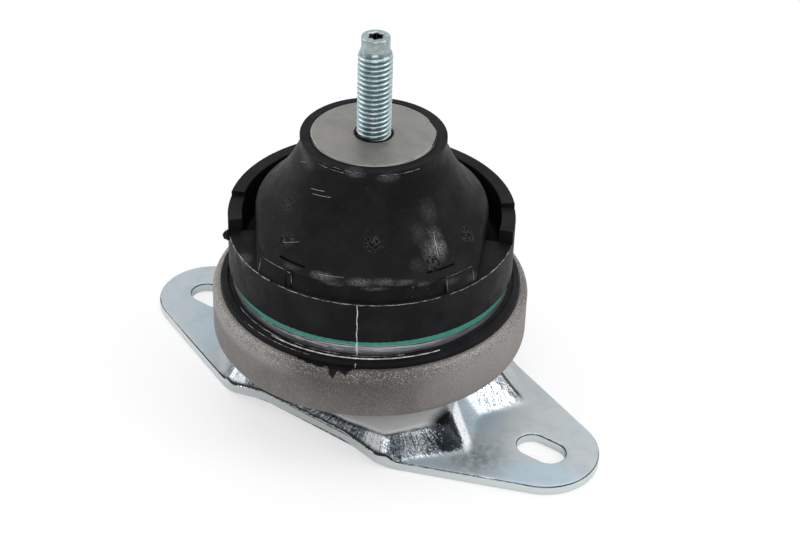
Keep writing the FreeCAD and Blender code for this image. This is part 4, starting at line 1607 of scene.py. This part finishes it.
    def rim_place(self, run: float) -> tuple[float, float]:
        """Finds a place on a sheet that lies over the cup's rim.

        Args:
            run: Distance along the sheet from its inner edge, in millimetres.

        Returns:
            Radius and height of the place in millimetres.
        """
        inner, bend, proud = self.sheet_inner, self.rim_bend, self.sheet_proud
        flat = self.rim_radius - bend - inner
        arc = 0.5 * math.pi * bend
        if run <= flat:
            return inner + run, self.rim_top + proud
        if run <= flat + arc:
            angle = (run - flat) / bend
            reach = bend + proud
            return inner + flat + reach * math.sin(angle), self.rim_top - bend + reach * math.cos(angle)
        return self.rim_radius + proud, self.rim_top - bend - (run - flat - arc)

    def nub(self, finish: Material) -> bpy.types.Object:
        """Builds the small torn nub at the left end of the band's top edge.

        Args:
            finish: Material of the nub.

        Returns:
            The nub.
        """
        rng = random.Random(self.seed + 1)
        rings, around = 7, 10
        middle = Vector(clock_point(42.9, 57.1, -76.5))
        points = []
        for ring in range(rings):
            lift = math.pi * (ring + 0.5) / rings
            for step in range(around):
                turn = 2 * math.pi * step / around
                size = mm(1.1) * (0.75 + 0.5 * rng.random())
                flat = math.sin(lift)
                way = Vector((flat * math.cos(turn), flat * math.sin(turn), 1.5 * math.cos(lift)))
                points.append(tuple(middle + way * size))
        faces = []
        for low in range(0, (rings - 1) * around, around):
            for step in range(around):
                after = (step + 1) % around
                faces.append((low + step, low + after, low + around + after, low + around + step))
        return make_piece("torn_nub", points, faces, finish)

    def tab(
        self,
        name: str,
        clocks: tuple[float, float],
        radii: tuple[float, float],
        top: float,
        finish: Material,
    ) -> bpy.types.Object:
        """Builds a proud tab on the wall of the front wing.

        Args:
            name: Name of the piece.
            clocks: First and last clock angle.
            radii: Inner radius, and outer radius at its foot, in millimetres.
            top: Height of its top in millimetres.
            finish: Material of the tab.

        Returns:
            The tab.
        """
        start, end = clocks
        inner, outer = radii
        low = self.band_top - 0.2
        section = [
            (inner, low),
            (outer + 0.6, low),
            (outer + 0.1, top - 0.35),
            (outer - 0.1, top - 0.08),
            (outer - 0.35, top),
            (inner, top),
        ]
        steps = max(3, round(end - start))
        points = [
            clock_point(radius, height, start + (end - start) * index / steps)
            for index in range(steps + 1)
            for radius, height in section
        ]
        size = len(section)
        faces = [tuple(range(size)), tuple(range(steps * size, (steps + 1) * size))[::-1]]
        for index in range(steps):
            for corner in range(size):
                after = (corner + 1) % size
                here = index * size
                there = here + size
                faces.append((here + corner, there + corner, there + after, here + after))
        return make_piece(name, points, faces, finish, smooth=False)

    def build(self, rubber: Material, flash: Material, rubbed: Material) -> None:
        """Builds every mark.

        Args:
            rubber: Finish of the moulding.
            flash: Finish of the flash.
            rubbed: Finish of the flash that handling has rubbed pale.
        """
        tree = solid_tree("rubber_spring")
        self.parting(rubbed)
        self.flash(tree, flash)
        self.scratches(tree, rubbed)
        self.disc_edge(rubber)
        self.torn_sheet(rubber)
        self.nub(rubber)
        self.tab("front_step", (19.5, 33.0), (38.9, 39.95), 61.6, rubber)
        self.tab("left_tab", (-33.0, -30.8), (38.9, 40.7), 61.6, rubber)


@dataclass
class Studio:
    """Floor, lights, background and camera."""

    lens: float = 83.08
    azimuth: float = 34.62
    elevation: float = 34.50
    roll: float = 1.92
    distance: float = 553.7
    aim_right: float = 8.76
    aim_height: float = 41.66
    white: str = "ffffff"
    room: str = "f6f8fa"
    paper_white: str = "f7f7f7"
    fill: float = 0.66
    front_dim: float = 0.3
    front_turn: float = 0.75
    shadow_softening: float = 0.6
    paper_roughness: float = 0.9
    sensor: float = 36.0
    floor_reach: float = 3.0
    floor_drop: float = 0.2
    lamp_aim: Point = (0.0, 0.0, 45.0)

    def camera(self) -> None:
        """Makes the camera that the photograph was fitted with."""
        azimuth = math.radians(self.azimuth)
        elevation = math.radians(self.elevation)
        back = Vector(
            (
                math.sin(azimuth) * math.cos(elevation),
                -math.cos(azimuth) * math.cos(elevation),
                math.sin(elevation),
            )
        )
        right = Vector((math.cos(azimuth), math.sin(azimuth), 0.0))
        target = right * mm(self.aim_right) + Vector((0.0, 0.0, mm(self.aim_height)))
        data = bpy.data.cameras.new("camera")
        data.lens = self.lens
        data.sensor_width = self.sensor
        eye = bpy.data.objects.new("camera", data)
        bpy.context.scene.collection.objects.link(eye)
        up = back.cross(right)
        turned = Matrix.Rotation(math.radians(self.roll), 3, back)
        basis = Matrix((turned @ right, turned @ up, back)).transposed()
        eye.matrix_world = Matrix.Translation(target + back * mm(self.distance)) @ basis.to_4x4()
        bpy.context.scene.camera = eye

    def softbox(self, name: str, place: Point, size: tuple[float, float], power: float) -> None:
        """Adds one area lamp that faces the part.

        Args:
            name: Name of the lamp.
            place: Place in metres.
            size: Width and height in metres.
            power: Power in watts.
        """
        data = bpy.data.lights.new(name, "AREA")
        data.shape = "RECTANGLE"
        data.size = size[0]
        data.size_y = size[1]
        data.energy = power
        lamp = bpy.data.objects.new(name, data)
        lamp.location = Vector(place)
        lamp.rotation_mode = "QUATERNION"
        aim = Vector(self.lamp_aim) * MILLIMETRE
        lamp.rotation_quaternion = (Vector(place) - aim).to_track_quat("Z", "Y")
        bpy.context.scene.collection.objects.link(lamp)

    def background(self) -> None:
        """Sets a world that is white behind the part, and in metal a little darker on the viewer's side."""
        world = bpy.data.worlds.new("studio")
        bpy.context.scene.world = world
        world.use_nodes = True
        tree = world.node_tree
        add = partial(add_node, tree)
        place = add(Node.DIRECTION)
        azimuth = math.radians(self.azimuth)
        front = (math.sin(azimuth), -math.cos(azimuth), 0.0)
        facing = add(Node.DOT, place, front)
        strength = add(Node.RANGE, facing, 0.0, self.front_turn, 1.0, self.front_dim)
        glossy = add(Node.GLOSSY_RAY)
        mirrored = add(Node.MAXIMUM, glossy, add(Node.TRANSMISSION_RAY))
        fill = add(Node.BACKGROUND, self.room, self.fill)
        seen_in_metal = add(Node.BACKGROUND, self.white, strength)
        white = add(Node.BACKGROUND, self.white, 1.0)
        lit = add(Node.MIX_SHADER, mirrored, fill, seen_in_metal)
        either = add(Node.MIX_SHADER, add(Node.CAMERA_RAY), lit, white)
        tree.links.new(either, tree.nodes["World Output"].inputs["Surface"])

    def floor(self) -> None:
        """Lays a white floor that keeps a faint shadow of the part."""
        reach = self.floor_reach
        mesh = bpy.data.meshes.new("studio_floor")
        corners = [(-reach, -reach, 0.0), (reach, -reach, 0.0), (reach, reach, 0.0), (-reach, reach, 0.0)]
        mesh.from_pydata(corners, [], [(0, 1, 2, 3)])
        plane = bpy.data.objects.new("studio_floor", mesh)
        plane.location.z = mm(-self.floor_drop)
        bpy.context.scene.collection.objects.link(plane)
        mesh.materials.append(self.paper())

    def paper(self) -> Material:
        """Builds white paper on which the camera sees the part's shadow softened.

        Returns:
            The paper.
        """
        material = bpy.data.materials.new("studio_paper")
        material.use_nodes = True
        tree = material.node_tree
        shader = tree.nodes["Principled BSDF"]
        shader.inputs["Base Color"].default_value = linear_colour(self.paper_white)
        shader.inputs["Roughness"].default_value = self.paper_roughness
        seen = add_node(tree, Node.CAMERA_RAY)
        white = add_node(tree, Node.EMISSION, self.white, 1.0)
        share = add_node(tree, Node.MULTIPLY, seen, self.shadow_softening)
        either = add_node(tree, Node.MIX_SHADER, share, shader.outputs[0], white)
        tree.links.new(either, tree.nodes["Material Output"].inputs["Surface"])
        return material

    def build(self) -> None:
        """Sets up the whole studio."""
        bpy.context.scene.view_settings.view_transform = "Standard"
        self.camera()
        self.background()
        self.floor()
        # Name, place and size in metres, and power in watts.
        self.softbox("overhead", (0.1, 0.25, 1.25), (1.3, 1.3), 6.5)
        self.softbox("front", (0.65, -1.0, 0.75), (0.9, 0.6), 4.5)
        self.softbox("left", (-1.0, -0.35, 0.6), (0.5, 0.8), 3.0)
        self.softbox("right", (0.95, 0.35, 0.9), (0.5, 0.7), 2.8)


def dress_solid(node: str, finish: Material) -> None:
    """Gives a solid of the part its finish.

    Args:
        node: Node of the solid.
        finish: Material that it gets.
    """
    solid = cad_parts[node]
    if not solid.material_slots:
        solid.data.materials.append(finish)
    for place in solid.material_slots:
        place.material = finish


def main() -> None:
    """Dresses the part, then builds the studio."""
    logging.basicConfig(level=logging.INFO)
    detail = RubberDetail()
    rubber = MouldedRubber(rosettes=detail.vent_places()).build()
    flash = TrimmedFlash().build()
    rubbed = TrimmedFlash("rubbed_rubber_flash", pale="cfcfcb", least=0.45).build()
    zinc = ZincPlate().build()
    thread = ZincThread().build()
    phosphate = PhosphatedSteel().build()
    bonded = BondedSteel().build()
    turned = PlainSteel(highlight_from=17.75, hole_radius=5.8).build()
    stamped = PlainSteel("stamped_oiled_steel", "9a9c9e", "85878a", "6c6e70", 0.9, 0.4).build()
    cast = PlainSteel("die_cast_aluminium", "aeb1b5", "989b9f", "7f8285", 0.9, 0.55).build()
    dress = {
        "base_plate": zinc,
        "housing_cup": phosphate,
        "armature_ring": bonded,
        "rubber_spring": rubber,
        "core_insert": turned,
        "stud": thread,
        "orifice_body": cast,
        "orifice_cover": stamped,
        "decoupler_membrane": rubber,
        "diaphragm": rubber,
        "diaphragm_ring": stamped,
    }
    for node, finish in dress.items():
        dress_solid(node, finish)
    PressedPlate().build(zinc)
    Stud().build(thread)
    detail.build(rubber, flash, rubbed)
    Studio().build()


if __name__ == "__main__":
    main()
